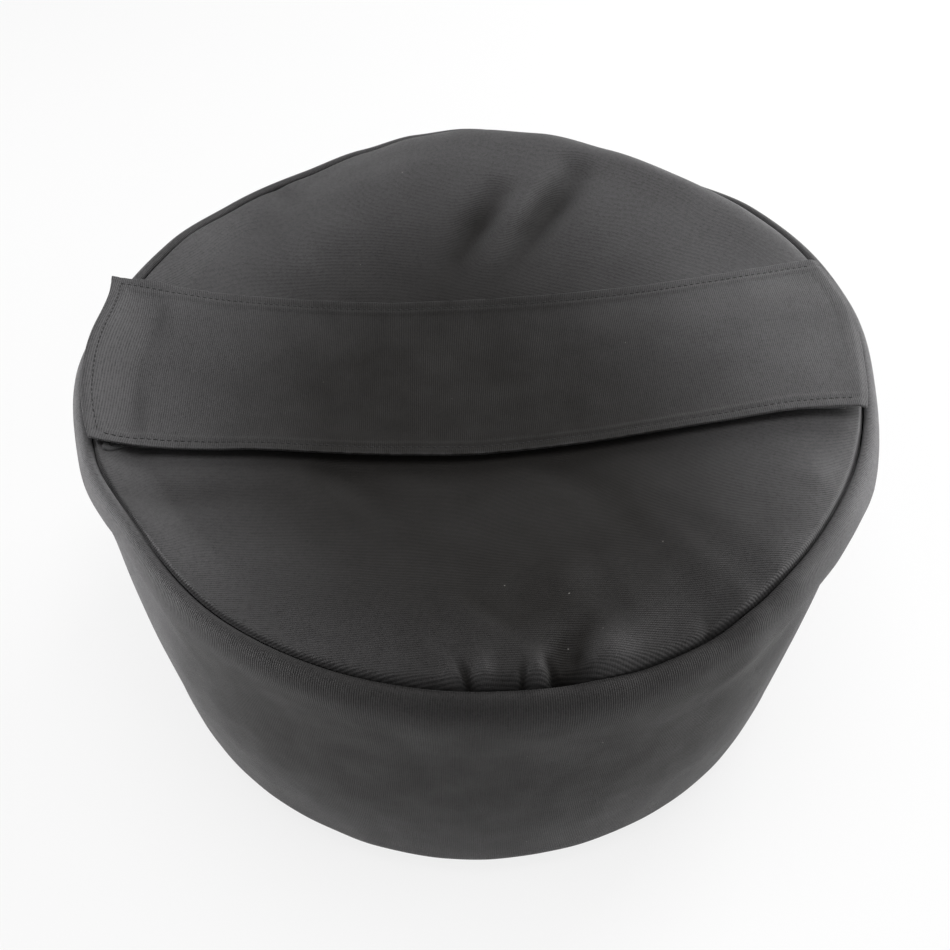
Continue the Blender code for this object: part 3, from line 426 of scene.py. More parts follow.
# Base panel: a round of the same nylon, sewn to the wall where its corner turns under. It lies flat on
# the floor but for its edge, which the sewing turns up.
BASE_SEAM_RADIUS = WALL_LOW_RADIUS - CORNER_RADIUS * (1.0 - math.cos(CORNER_SWEEP))
BASE_SEAM_HEIGHT = CORNER_RADIUS * (1.0 - math.sin(CORNER_SWEEP))
BASE_RINGS = 70


def lay_base(u, v):
    radius = (BASE_SEAM_RADIUS - SEAM_GAP) * (1.0 - (1.0 - v) ** 1.3)
    angle = 2 * math.pi * u
    turned = max(0.0, radius - BASE_SEAM_RADIUS + BASE_SEAM_HEIGHT) / BASE_SEAM_HEIGHT
    height = BASE_SEAM_HEIGHT * (1.0 - math.sqrt(max(0.0, 1.0 - turned * turned)))
    place = at_angle(radius, angle, height)
    return slumped(place), (place.x, place.y)


tool = cloth(240, BASE_RINGS, lay_base)
turn_outwards(tool, lambda point: Vector((0.0, 0.0, -1.0)))
base = piece_of("base_cloth", tool, wall_nylon, NYLON_THICKNESS)
mark_wear_and_painted_light(base, lambda point: 0.3 + 0.6 * eased((math.hypot(point.x, point.y) - 0.16) / 0.02), wall_painted_light)
on_bag(base, "ribbed_nylon", "base_panel")


# Top cloth: two shaped halves of the same nylon, their ribs along the flap, sewn to the wall in a sunken
# round seam and to the zip's tapes in the middle. The sand puffs them up inside the seam in front and
# behind, and between those swells they dish down; short puckers run in from the seam in front.
TOP_THICKNESS = 0.0012
SWELL_DEGREES, SWELL_SPREAD, SWELL_HEIGHT = 58, 0.40, 0.0062
PINCH_DEGREES, PINCH_SPREAD = -84, 0.24
PUFF_RADIUS = SEAM_RADIUS - 0.023
PUFF_MEAN, PUFF_LEAN, PUFF_PINCH = 0.0005, 0.0072, 0.0057
DISH_PLACE = Vector((-0.038, -0.016))
DISH_DEPTH = 0.022
DISH_FLAT = 0.2
ZIP_Y = 0.026
ZIP_OPENING = 0.008
ZIP_AXIS = (-0.036416, 1.031797)
ZIP_SUNK = 0.004
ZIP_ARC = ZIP_AXIS[1] - (SEAM_HEIGHT - DISH_DEPTH - ZIP_SUNK)
VALLEY_FLAT, VALLEY_HALF = 0.0156, 0.028
VALLEY_END, VALLEY_FADE, TAPE_END = 0.166, 0.018, 0.168
FLAP_HALF, FLAP_REAR = 0.057, 0.053
# How much the cloth's columns crowd at its ends and middle, and its rows at the seam.
COLUMN_CROWDING, ROW_CROWDING = 0.60, 0.82
# Folds of the top: start and end in metres, width, height, and how much of it the start keeps.
FOLDS = (
    (-0.0118, -0.1948, -0.0180, -0.1820, 0.0016, -0.0046, 1.0),
    (0.0090, -0.1948, 0.0098, -0.1840, 0.0015, -0.0042, 1.0),
    (0.0226, -0.1942, 0.0180, -0.1810, 0.0017, -0.0052, 1.0),
    (-0.0060, -0.1925, -0.0100, -0.1770, 0.0040, 0.0024, 0.7),
    (0.0160, -0.1925, 0.0140, -0.1750, 0.0045, 0.0028, 0.7),
    (-0.0175, -0.1925, -0.0260, -0.1780, 0.0036, 0.0018, 0.7),
    (0.0245, -0.1905, 0.0440, -0.1600, 0.0065, -0.0048, 0.8),
    (0.0400, -0.1870, 0.0720, -0.1660, 0.0100, 0.0040, 0.6),
    (0.0000, -0.1620, 0.0320, -0.1280, 0.0160, -0.0026, 0.5),
    (0.0900, -0.1730, 0.0860, -0.1630, 0.0030, -0.0018, 0.9),
    (0.0640, 0.1450, 0.0060, 0.0620, 0.0105, -0.0062, 0.4),
    (0.0150, 0.1330, -0.0280, 0.0600, 0.0095, -0.0050, 0.4),
    (0.0380, 0.1350, -0.0050, 0.0640, 0.0070, 0.0022, 0.3),
    (-0.1170, 0.1520, -0.0980, 0.1280, 0.0060, -0.0013, 0.8),
    (-0.1300, 0.0900, -0.0300, 0.1200, 0.0200, 0.0016, 0.0),
    (-0.0711, -0.0618, -0.0280, -0.1300, 0.0120, -0.0034, 0.8),
    (0.0370, -0.0661, 0.0720, -0.1360, 0.0120, -0.0032, 0.8),
    (-0.1740, -0.0860, -0.0760, -0.0840, 0.0105, -0.0036, 0.6),
    (-0.1450, -0.1180, -0.0500, -0.1500, 0.0170, 0.0016, 0.4),
    (0.1450, -0.1050, 0.1650, -0.0700, 0.0100, 0.0012, 0.0),
)
# The height over the seam of the flap's two long edges, at places along it.
FRONT_EDGE = (
    (-0.1900, 0.0070), (-0.1792, 0.0030), (-0.1611, -0.0026), (-0.1383, -0.0060), (-0.1101, -0.0076),
    (-0.0762, -0.0116), (-0.0366, -0.0152), (-0.0020, -0.0160), (0.0371, -0.0117), (0.0759, -0.0056),
    (0.1144, 0.0027), (0.1524, 0.0096), (0.1853, 0.0108), (0.1940, 0.0100),
)
REAR_EDGE = (
    (-0.1980, 0.0060), (-0.1734, 0.0008), (-0.1417, -0.0061), (-0.0980, -0.0118), (-0.0600, -0.0140),
    (-0.0300, -0.0137), (0.0140, -0.0106), (0.0696, -0.0055), (0.1246, 0.0006), (0.1577, 0.0040),
    (0.1848, 0.0056), (0.1940, 0.0058),
)
FLAP_OVER_TOP = 0.0060


def puff(angle):
    return PUFF_MEAN + PUFF_LEAN * math.cos(angle) - PUFF_PINCH * math.cos(2 * angle)


def plain_dish(x, y):
    radius = math.hypot(x, y)
    if radius > PUFF_RADIUS:
        ridge = puff(math.atan2(y, x))
        out = min(1.0, (radius - PUFF_RADIUS) / (SEAM_RADIUS - SEAM_GAP - PUFF_RADIUS))
        return ridge * (math.sqrt(1.0 - out**2.6) if ridge > 0.0 else 1.0 - eased(out))
    way = Vector((x, y)) - DISH_PLACE
    distance = max(way.length, 1e-9)
    way /= distance
    along = DISH_PLACE.dot(way)
    reach = math.sqrt(along**2 + PUFF_RADIUS**2 - DISH_PLACE.length_squared) - along
    ridge = puff(math.atan2(DISH_PLACE.y + way.y * reach, DISH_PLACE.x + way.x * reach))
    return (ridge + DISH_DEPTH) * eased((distance / reach - DISH_FLAT) / (1.0 - DISH_FLAT)) - DISH_DEPTH


def smooth_table(table, place):
    """A curve without corners through a table, from the slopes between its neighbours."""
    last = len(table) - 1
    for number in range(last):
        if place <= table[number + 1][0] or number == last - 1:
            break
    near, far = table[number], table[number + 1]
    before, after = table[max(0, number - 1)], table[min(last, number + 2)]
    span = far[0] - near[0]
    rise_in = (far[1] - before[1]) / (far[0] - before[0]) * span
    rise_out = (after[1] - near[1]) / (after[0] - near[0]) * span
    t = min(1.0, max(0.0, (place - near[0]) / span))
    return (near[1] * (1 + 2 * t) * (1 - t) ** 2 + rise_in * t * (1 - t) ** 2
            + far[1] * t * t * (3 - 2 * t) - rise_out * t * t * (1 - t))


def edge_give(x, y):
    """How the cloth under the flap's long edges differs from the plain dish, fading towards the zip."""
    inside = 1.0 - eased((abs(x) - 0.140) / 0.040)
    if y < 0.0:
        give = smooth_table(FRONT_EDGE, x) - FLAP_OVER_TOP - plain_dish(x, -FLAP_HALF)
        return 0.85 * give * inside * eased((-y - 0.006) / 0.044) * (1.0 - eased((-y - 0.060) / 0.090))
    give = smooth_table(REAR_EDGE, x) - FLAP_OVER_TOP - plain_dish(x, FLAP_REAR)
    return 0.85 * give * inside * eased((y - 0.036) / 0.020) * (1.0 - eased((y - 0.060) / 0.090))


def folds(x, y):
    out = 0.0
    for x0, y0, x1, y1, width, height, start in FOLDS:
        run = Vector((x1 - x0, y1 - y0))
        away = Vector((x - x0, y - y0))
        share = away.dot(run) / run.length_squared
        if not -0.2 < share < 1.2:
            continue
        aside = abs(away.x * run.y - away.y * run.x) / run.length
        if aside > 3 * width:
            continue
        lasting = (1.0 - eased(share)) * (start + (1.0 - start) * eased(share / 0.35 + 0.1))
        if share < 0.0:
            lasting *= eased(1.0 + share / 0.2)
        out += height * lasting * hump(aside, width) * (1.6 if start < 0.5 else 1.0)
    return out


def top_surface(x, y):
    """Height of the top cloth's outer face."""
    radius = math.hypot(x, y)
    plain = plain_dish(x, y)
    across = abs(y - ZIP_Y)
    beside = 1.0 - eased((across - VALLEY_FLAT) / (VALLEY_HALF - VALLEY_FLAT))
    ends = 1.0 - eased((abs(x) - VALLEY_END) / VALLEY_FADE)
    end = TAPE_END + VALLEY_FADE
    chain_x = max(-end, min(end, x)) - ZIP_AXIS[0]
    floor = min(plain, ZIP_ARC - math.sqrt(ZIP_ARC**2 - chain_x**2) - DISH_DEPTH - ZIP_SUNK)
    plain += (floor - plain) * beside * ends
    free = 1.0 - beside
    under_flap = 1.0 - eased((abs(y) - FLAP_HALF + 0.012) / 0.024)
    place = Vector((x, y, 0.0))
    waves = 0.0013 * noise.noise(place * 17.0 + Vector((2.0, 5.0, 0.0)))
    waves += 0.00045 * noise.noise(place * 48.0 + Vector((9.0, 1.0, 0.0)))
    held = 1.0 - eased((radius - 0.180) / 0.012)
    loose = free * (folds(x, y) * (1.0 - under_flap) + waves * held * (1.0 - 0.8 * under_flap))
    angle = math.atan2(y, x)
    bulge = SWELL_HEIGHT * hump(turn_from(angle, SWELL_DEGREES), SWELL_SPREAD) * hump(radius - 0.183, 0.014)
    lifted = bulge * (1.0 - eased((radius - 0.188) / 0.0068))
    pinched = hump(turn_from(angle, PINCH_DEGREES), PINCH_SPREAD)
    tucked = GROOVE_DEPTH * (1.0 + 1.4 * pinched)
    tucked *= eased((radius - SEAM_RADIUS + 0.0030 + 0.0028 * pinched) / (0.0028 + 0.0028 * pinched)) ** 1.5
    return SEAM_HEIGHT + plain + edge_give(x, y) + loose + lifted - tucked


def top_painted_light(point):
    """Painted light on the top: how far its colour is lifted towards a paler grey, growing towards its rim
    and ends, with painted shade keeping the dish darkest.
    """
    away = math.hypot(1.15 * (point.x + 0.020 + 0.20 * min(0.0, point.y)), 0.90 * (point.y + 0.060))
    ends = 0.06 * eased((abs(point.x) - 0.080) / 0.080)
    # The folds' ridges get painted light and their valleys painted shade.
    return max(0.0, 0.43 * eased((away - 0.055) / 0.185) ** 1.2 + ends + 30.0 * folds(point.x, point.y))


def on_top(x, y, lift=0.0):
    """A point at a height over the top cloth, on the settled bag."""
    return slumped(Vector((x, y, top_surface(x, y) + lift)))


def lay_top(side):
    radius = SEAM_RADIUS - SEAM_GAP
    edge_y = ZIP_Y + side * ZIP_OPENING
    half = math.sqrt(radius**2 - edge_y**2)
    corner = math.asin(edge_y / radius)
    start = math.pi - corner
    sweep = math.pi + 2 * corner if side < 0 else 2 * corner - math.pi

    def lay(u, v):
        along = u - COLUMN_CROWDING * math.sin(4 * math.pi * u) / (4 * math.pi)
        share = 1.0 - (1.0 - v) * (1.0 - ROW_CROWDING * v**6)
        straight = Vector((half * (2 * along - 1), edge_y))
        angle = start + sweep * along
        curved = Vector((radius * math.cos(angle), radius * math.sin(angle)))
        place = straight.lerp(curved, share)
        return on_top(*place), tuple(place)

    return lay


top_nylon = ribbed_nylon("ribbed_nylon_top", 0.09, ribs_along=0)
for end, side, columns, rows, deep, area in (
    ("front", -1, 390, 122, 0.213, 0.0715), ("rear", 1, 250, 96, 0.161, 0.0480),
):
    tool = cloth(columns, rows, lay_top(side))
    turn_outwards(tool, lambda point: UP)
    top = piece_of("top_cloth_" + end, tool, top_nylon, TOP_THICKNESS)
    mark_wear_and_painted_light(top, lambda point: 0.08 * eased((math.hypot(point.x, point.y) - 0.165) / 0.02), top_painted_light)
    on_bag(top, "ribbed_nylon", "top_panel_" + end)


# Cover flap: a band of the same nylon with its ribs across, hemmed and topstitched 5 mm inside its edges.
# It is sewn to the top behind the zip and lies over it, its left end over the rim and its right end
# tucked along the seam. The hook tape under it holds it down, but its front edge stands off in the middle.
FLAP_THICKNESS = 0.0016
FLAP_HEM, HEM_STEP = 0.0080, 0.0005
FLAP_REACH = 0.1943
STITCH_INSET, STITCH_PITCH, STITCH_GAP = 0.0050, 0.0032, 0.28
STITCH_DENT, DENT_WIDTH = 0.00042, 0.0008
THREAD_RADIUS, THREAD_LIFT = 0.00034, 0.00020
THREAD_BLACK = (0.012, 0.012, 0.012, 1.0), (0.030, 0.029, 0.030, 1.0)
BEAD_TOP = 0.0027
LEFT_END = (
    (-0.0600, -0.1858), (-0.0500, -0.1893), (-0.0330, -0.1930), (-0.0150, -0.1946), (0.0100, -0.1954),
    (0.0330, -0.1956), (0.0500, -0.1960), (0.0620, -0.1972),
)
REAR_LINE = (
    (-0.1980, 0.0610), (-0.1734, 0.0595), (-0.1400, 0.0580), (-0.0980, 0.0570), (-0.0420, 0.0550),
    (0.0140, 0.0530), (0.0700, 0.0515), (0.1260, 0.0515), (0.1580, 0.0530), (0.1940, 0.0560),
)


def over_rim(x, y):
    """The surface that the flap lies on: the plain dish, bridged over the seam to the top of the rim."""
    radius = math.hypot(x, y)
    if radius <= PUFF_RADIUS:
        return plain_dish(x, y)
    ridge = puff(math.atan2(y, x))
    if ridge < BEAD_TOP:
        return ridge + (BEAD_TOP - ridge) * eased((radius - PUFF_RADIUS) / (SEAM_RADIUS - PUFF_RADIUS))
    out = min(1.0, (radius - PUFF_RADIUS) / 0.040)
    return BEAD_TOP + (ridge - BEAD_TOP) * math.sqrt(1.0 - out * out)


def flap_height(x, y):
    """Height of the flap's upper face, before its hems and stitching."""
    level = over_rim(x, y) + FLAP_OVER_TOP
    front = smooth_table(FRONT_EDGE, x) - over_rim(x, -FLAP_HALF) - FLAP_OVER_TOP
    rear = smooth_table(REAR_EDGE, x) - over_rim(x, FLAP_REAR) - FLAP_OVER_TOP
    level += front * (1.0 - eased((y + FLAP_HALF) / 0.060)) + rear * eased((y - 0.010) / 0.043)
    place = Vector((x, y, 3.0))
    waves = 0.0006 * noise.noise(place * 21.0) + 0.0003 * noise.noise(place * 60.0)
    return SEAM_HEIGHT + level + waves


def flap_place(u, v):
    """A place on the flap, and its distances from the left, right, front and rear edges."""
    rear = smooth_table(REAR_LINE, -0.195 + 0.390 * u)
    front = -FLAP_HALF + 0.0006 * noise.noise(Vector((u * 9.0, 0.0, 7.0)))
    y = front + (rear - front) * v
    left, right = smooth_table(LEFT_END, y), math.sqrt(FLAP_REACH**2 - y * y)
    x = left + (right - left) * u
    return x, y, (x - left, right - x, y - front, rear - y)


def lay_flap(u, v):
    x, y, edges = flap_place(u, v)
    to_left, to_right, to_front, to_rear = edges
    height = flap_height(x, y) + HEM_STEP * (1.0 - eased((min(edges) - FLAP_HEM) / 0.0014))
    for distance in (to_left, to_front, to_rear):
        height -= STITCH_DENT * hump(distance - STITCH_INSET, DENT_WIDTH)
    height -= 0.0016 * (1.0 - eased(to_right / 0.0045))
    return slumped(Vector((x, y, height))), (x, y)


def round_rim(tool, offset, segments=2, degrees=55):
    """Rounds the edges where the surface turns by more than an angle."""
    closed = [edge for edge in tool.edges if len(edge.link_faces) == 2]
    rim = [edge for edge in closed if edge.calc_face_angle(0.0) > math.radians(degrees)]
    bmesh.ops.bevel(
        tool, geom=rim, offset=offset, offset_type="OFFSET", segments=segments, profile=0.5,
        affect="EDGES", material=-1, clamp_overlap=True,
    )


def thick_band(tool, thickness, rim):
    """Gives a laid band its thickness downwards and rounds its cut edge."""
    turn_outwards(tool, lambda point: UP)
    lower = bmesh.ops.extrude_face_region(tool, geom=tool.faces[:], use_keep_orig=True)["geom"]
    moved = [item for item in lower if isinstance(item, bmesh.types.BMVert)]
    bmesh.ops.reverse_faces(tool, faces=[item for item in lower if isinstance(item, bmesh.types.BMFace)])
    bmesh.ops.translate(tool, verts=moved, vec=(0.0, 0.0, -thickness))
    bmesh.ops.recalc_face_normals(tool, faces=tool.faces[:])
    round_rim(tool, rim)


def bend_with_flap(piece):
    """Bakes the piece's placement into its mesh; the cloth stays as it was laid."""
    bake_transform(piece)


flap_nylon = ribbed_nylon("ribbed_nylon_flap", 0.10)
tool = cloth(340, 100, lay_flap)
thick_band(tool, FLAP_THICKNESS, 0.0005)
flap = piece_of("flap_cloth", tool, flap_nylon)


def flap_handled(point):
    to_left = point.x - smooth_table(LEFT_END, point.y)
    nearest = min(abs(to_left), abs(point.y + FLAP_HALF), abs(smooth_table(REAR_LINE, point.x) - point.y))
    return 0.03 + 0.4 * (1.0 - eased(nearest / 0.0016))


mark_wear_and_painted_light(flap, flap_handled, top_painted_light)
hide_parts("flap_cover", "flap_sewn_hem")


def new_thread(name):
    """Bonded black thread: two plies twisted round each other, with a little gloss."""
    made, tree, shader = new_finish(name, 0.45, sheen=0.10)
    shader.inputs["Specular IOR Level"].default_value = 0.15
    space = in_space(tree)
    plies = shader_step(tree, "TexWave", (("Vector", space), ("Scale", 420.0), ("Distortion", 2.0)))
    emboss(tree, shader, 0.5, 0.0001, plies.outputs["Fac"])
    feed_in(shader.inputs["Base Color"], blended(tree, cloudy(tree, space, 300.0), *THREAD_BLACK))
    return made


def sew(tool, count, where):
    """Stitches between the places that where(share) gives, each dipping into the cloth at its ends."""
    path = [where(step / count) for step in range(count + 1)]
    shaker = random.Random(len(path))
    for first, second in zip(path, path[1:]):
        run = second - first
        middle = (first + second) / 2
        along = run.normalized()
        side = UP.cross(along).normalized()
        along = (along + side * shaker.uniform(-0.06, 0.06)).normalized()
        side = UP.cross(along).normalized()
        frame_axes = Matrix((along, side, along.cross(side))).transposed().to_4x4()
        half = run.length * (1.0 - STITCH_GAP) / 2
        shape = Matrix.Translation(middle) @ frame_axes
        shape = shape @ Matrix.Diagonal((half, THREAD_RADIUS, THREAD_RADIUS, 1.0))
        shape = shape @ Matrix.Rotation(math.pi / 2, 4, "Y")
        bmesh.ops.create_uvsphere(tool, u_segments=6, v_segments=5, radius=1.0, matrix=shape)


def flap_line(start, run, inset):
    """Places of the needle's holes along one edge of the flap: u and v run, and an inset in metres."""
    def where(share):
        x, y, _ = flap_place(start[0] + run[0] * share, start[1] + run[1] * share)
        x, y = x + inset[0], y + inset[1]
        return slumped(Vector((x, y, flap_height(x, y) + THREAD_LIFT)))
    return where


thread = new_thread("black_thread")
tool = bmesh.new()
for length, start, run, inset in (
    (0.372, (0.014, 0.0), (0.97, 0.0), (0.0, STITCH_INSET)),
    (0.372, (0.014, 1.0), (0.97, 0.0), (0.0, -STITCH_INSET)),
    (0.104, (0.0, 0.05), (0.0, 0.90), (STITCH_INSET, 0.0)),
):
    sew(tool, round(length / STITCH_PITCH), flap_line(start, run, inset))
flap_thread = piece_of("flap_stitching", tool, thread)
bend_with_flap(flap)
bend_with_flap(flap_thread)


# Hook tape: one wide black hook tape sewn over the flap's whole underside, from its sewn line to just
# inside its front hem, so that it grips the loop tape wherever the flap comes down.
HOOK_THICKNESS = 0.0015
HOOK_FRONT, HOOK_REAR = -0.0515, 0.0485
HOOK_LEFT_INSET, HOOK_RIGHT_INSET = 0.0075, 0.0055
TAPE_STITCH = 0.0025
TAPE_BLACK = (0.020, 0.020, 0.021, 1.0)


def tape_finish(name, pitch, tall, lustre, nap):
    """Black tape: rows of hooks at a pitch, or with nap 1 a brushed pile of loops."""
    made, tree, shader = new_finish(name, lustre, sheen=0.1 + 0.4 * nap)
    space = in_space(tree)
    turns = [maths(tree, "MULTIPLY", axis, 2 * math.pi / pitch) for axis in on_cloth(tree)]
    dots = spread(tree, maths(tree, "MULTIPLY", *(maths(tree, "SINE", turn) for turn in turns)), -0.2, 0.9)
    fuzz = cloudy(tree, space, 900.0 if nap else 1800.0, 4.0, 0.7)
    height = weighed(tree, (fuzz, 0.3 + nap), (dots, 1.0 - nap))
    emboss(tree, shader, 0.8, tall, height)
    patchy = weighed(tree, (height, 0.5), (cloudy(tree, space, 35.0), 0.5))
    tone = blended(tree, patchy, shade(TAPE_BLACK, 0.45), shade(TAPE_BLACK, 2.2))
    feed_in(shader.inputs["Base Color"], tone)
    return made


def lay_hook(u, v):
    y = HOOK_FRONT + (HOOK_REAR - HOOK_FRONT) * v
    left = smooth_table(LEFT_END, y) + HOOK_LEFT_INSET
    right = math.sqrt(FLAP_REACH**2 - y * y) - HOOK_RIGHT_INSET
    x = left + (right - left) * u
    drop = FLAP_THICKNESS + 0.0003 + 0.0012 * eased((y - HOOK_REAR + 0.006) / 0.006)
    edge = min(u * (right - left), (1.0 - u) * (right - left), v * 0.1, (1.0 - v) * 0.1)
    drop += 0.0003 * hump(edge - TAPE_STITCH, 0.0008)
    return slumped(Vector((x, y, flap_height(x, y) - drop))), (x, y)


hook_finish = tape_finish("black_hook_tape", 0.0017, 0.0005, 0.5, 0.0)
tool = cloth(220, 70, lay_hook)
thick_band(tool, HOOK_THICKNESS, 0.0003)
hook_tape = piece_of("hook_tape", tool, hook_finish)
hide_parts("flap_hook_tape")
bend_with_flap(hook_tape)


# Loop tape: the half that stays on the bag, a brushed tape sewn along its edges to the front half of the
# top. Its left end runs out a little past the flap's front corner, where its stitching shows.
LOOP_THICKNESS = 0.0012
LOOP_FRONT, LOOP_REAR = -0.0520, -0.0020
LOOP_START, LOOP_LENGTH, LOOP_REACH = -0.1815, 0.3595, 0.1905
CLOTH_GAP = 0.0005


def loop_place(u, v):
    x = LOOP_START + LOOP_LENGTH * u
    corner = 1.0 - eased((x + 0.1790) / 0.0080)
    front = LOOP_FRONT - 0.0080 * corner
    y = front + (LOOP_REAR - front) * v
    return max(x, -math.sqrt(LOOP_REACH**2 - y * y) + 0.0010 * u), y


def lay_loop(u, v):
    x, y = loop_place(u, v)
    edge = min(min(u, 1.0 - u) * LOOP_LENGTH, min(v, 1.0 - v) * (LOOP_REAR - LOOP_FRONT))
    dent = 0.00035 * hump(edge - TAPE_STITCH, 0.0007)
    return on_top(x, y, CLOTH_GAP + LOOP_THICKNESS - dent), (x, y)


loop_finish = tape_finish("black_loop_tape", 0.0011, 0.0004, 0.85, 1.0)
tool = cloth(240, 44, lay_loop)
thick_band(tool, LOOP_THICKNESS, 0.0003)
loop_tape = piece_of("loop_tape", tool, loop_finish)
tool = bmesh.new()
for length, (u0, v0), (u1, v1) in (
    (0.354, (0.0075, 0.05), (0.9925, 0.05)), (0.354, (0.0075, 0.95), (0.9925, 0.95)),
    (0.045, (0.0075, 0.05), (0.0075, 0.95)), (0.045, (0.9925, 0.05), (0.9925, 0.95)),
):
    def on_loop(share):
        return on_top(*loop_place(u0 + (u1 - u0) * share, v0 + (v1 - v0) * share), 0.0004 + LOOP_THICKNESS)

    sew(tool, round(length / STITCH_PITCH), on_loop)
loop_thread = piece_of("loop_stitching", tool, thread)
on_bag(loop_tape, "loop_tape", "flap_loop_tape")
on_bag(loop_thread, "loop_tape")


# Zip: two woven tapes sewn under the top's cut edges, each with a cord along its inner edge and teeth
# moulded over the cord. The chain lies along the bottom of its valley, on the arc that the slider runs on.
CHAIN_RADIUS = ZIP_ARC + 0.0021
TAPE_WIDTH, TAPE_HALF, CORD_RADIUS = 0.0145, 0.0004, 0.0008
CORD_EDGE, CORD_SPREAD = 0.0016, 0.0008
CHAIN_START, CHAIN_END, CHAIN_PARTED = -0.1470, 0.1505, 0.1549
TOOTH_PITCH = 0.0050
TOOTH_SIZE = (0.0028, 0.0043, 0.0026)
TOOTH_HEAD_SHARE = 0.68
ZIP_SEAM = 0.0035


def on_chain(point):
    """A point of the flat chain, X along it and Z over its middle, laid on the zip's arc."""
    angle = (point.x - ZIP_AXIS[0]) / CHAIN_RADIUS
    radius = CHAIN_RADIUS - point.z
    x, z = ZIP_AXIS[0] + radius * math.sin(angle), ZIP_AXIS[1] - radius * math.cos(angle)
    return Vector((x, ZIP_Y + point.y, z))


def tape_ring():
    outer, inner = CORD_EDGE + TAPE_WIDTH, CORD_EDGE + 2 * CORD_RADIUS
    cord = arc((CORD_EDGE + CORD_RADIUS, 0.0), CORD_RADIUS, math.radians(32), math.radians(328), 14)
    upper = [(outer, 0.0), (outer - TAPE_HALF / 2, TAPE_HALF), (inner + CORD_RADIUS, TAPE_HALF)]
    return walk(upper + cord + [(y, -z) for y, z in reversed(upper)], 0.0009)


def lay_tape(side, ring):
    def lay(u, v):
        y, z, around = row_at(ring, v)
        x = TAPE_END * (2 * u - 1)
        parted = CORD_SPREAD * eased((x - CHAIN_END) / (CHAIN_PARTED - CHAIN_END))
        y += parted * (1.0 - (y - CORD_EDGE) / TAPE_WIDTH)
        return on_chain(Vector((x, side * y, z))), (x, around)
    return lay


def woven_finish(name, pitch):
    """Woven tape: a herringbone of fine twills, slightly uneven in tone."""
    made, tree, shader = new_finish(name, 0.72, sheen=0.25)
    space, (along, across) = in_space(tree), on_cloth(tree)
    slant = maths(tree, "ADD", along, maths(tree, "PINGPONG", across, 5 * pitch))
    twill = maths(tree, "SINE", maths(tree, "MULTIPLY", slant, 2 * math.pi / pitch))
    fuzz = cloudy(tree, space, 1300.0, 3.0)
    height = weighed(tree, (fuzz, 0.6), (twill, 0.35))
    emboss(tree, shader, 0.6, 0.00025, height)
    share = weighed(tree, (cloudy(tree, space, 40.0), 0.5), (height, 0.6))
    feed_in(shader.inputs["Base Color"], blended(tree, share, shade(TAPE_BLACK, 0.5), shade(TAPE_BLACK, 1.9)))
    return made


def close_ends(tool):
    """Closes the open ends of a drawn section."""
    open_edges = [edge for edge in tool.edges if len(edge.link_faces) == 1]
    bmesh.ops.holes_fill(tool, edges=open_edges, sides=0)
    bmesh.ops.recalc_face_normals(tool, faces=tool.faces[:])


def moulded_finish(name, colour, roughness, metallic=0.0, coat=0.0):
    """Moulded plastic or enamelled metal: nearly even, with faint flow marks and small scuffs."""
    made, tree, shader = new_finish(name, roughness, metallic=metallic)
    shader.inputs["Coat Weight"].default_value = coat
    shader.inputs["Coat Roughness"].default_value = 0.25
    space = in_space(tree)
    tone = blended(tree, cloudy(tree, space, 180.0, 4.0), colour, shade(colour, 1.5))
    feed_in(shader.inputs["Base Color"], tone)
    scuffs = cloudy(tree, space, 700.0, 5.0, 0.7)
    rough = spread(tree, scuffs, 0.3, 0.75, roughness - 0.08, roughness + 0.18)
    feed_in(shader.inputs["Roughness"], rough)
    emboss(tree, shader, 0.25, 0.00005, scuffs)
    return made


tape_cloth = woven_finish("black_zip_tape", 0.0011)
tooth_plastic = moulded_finish("black_tooth_plastic", (0.020, 0.020, 0.021, 1.0), 0.34)
ring = tape_ring()
for side, end in ((-1, "front"), (1, "rear")):
    tool = cloth(240, len(ring) - 1, lay_tape(side, ring))
    close_ends(tool)
    tape = piece_of("zip_tape_cloth_" + end, tool, tape_cloth)
    tool = bmesh.new()
    for number in range(int((CHAIN_END - CHAIN_START) / TOOTH_PITCH)):
        middle = CHAIN_START + (number + (0.25 if side > 0 else 0.75)) * TOOTH_PITCH
        place = Vector((middle, side * (CORD_EDGE + 0.0014 - TOOTH_SIZE[1] / 2), 0.0))
        made = bmesh.ops.create_cube(tool, size=1.0)["verts"]
        bmesh.ops.scale(tool, verts=made, vec=TOOTH_SIZE)
        for vert in made:
            if vert.co.y * side < 0.0:
                vert.co.x *= TOOTH_HEAD_SHARE
        bmesh.ops.translate(tool, verts=made, vec=place)
    round_rim(tool, 0.00040, 3)
    for vert in tool.verts:
        vert.co = on_chain(vert.co)
    teeth = piece_of("zip_teeth_" + end, tool, tooth_plastic)
    on_bag(tape, "zip_tape", "zip_tape_" + end)
    on_bag(teeth, "moulded_plastic")


# Zip stops: a moulded stop over both cords at the chain's start, and one clipped round each cord at its end.
def refined(name, node, finish, bevel):
    """A copy of a CAD node: its loose triangles joined into faces, and its edges rounded."""
    tool = bmesh.new()
    tool.from_mesh(bpy.data.objects[node].data)
    bmesh.ops.remove_doubles(tool, verts=tool.verts, dist=0.00001)
    bmesh.ops.dissolve_limit(tool, angle_limit=math.radians(1.5), verts=tool.verts, edges=tool.edges)
    round_rim(tool, bevel, degrees=25)
    return piece_of(name, tool, finish)


stop_plastic = moulded_finish("black_stop_plastic", (0.021, 0.021, 0.022, 1.0), 0.30)
for node in ("zip_bottom_stop", "zip_top_stop_front", "zip_top_stop_rear"):
    on_bag(refined("moulded_" + node[4:], node, stop_plastic, 0.00018), "moulded_plastic", node)


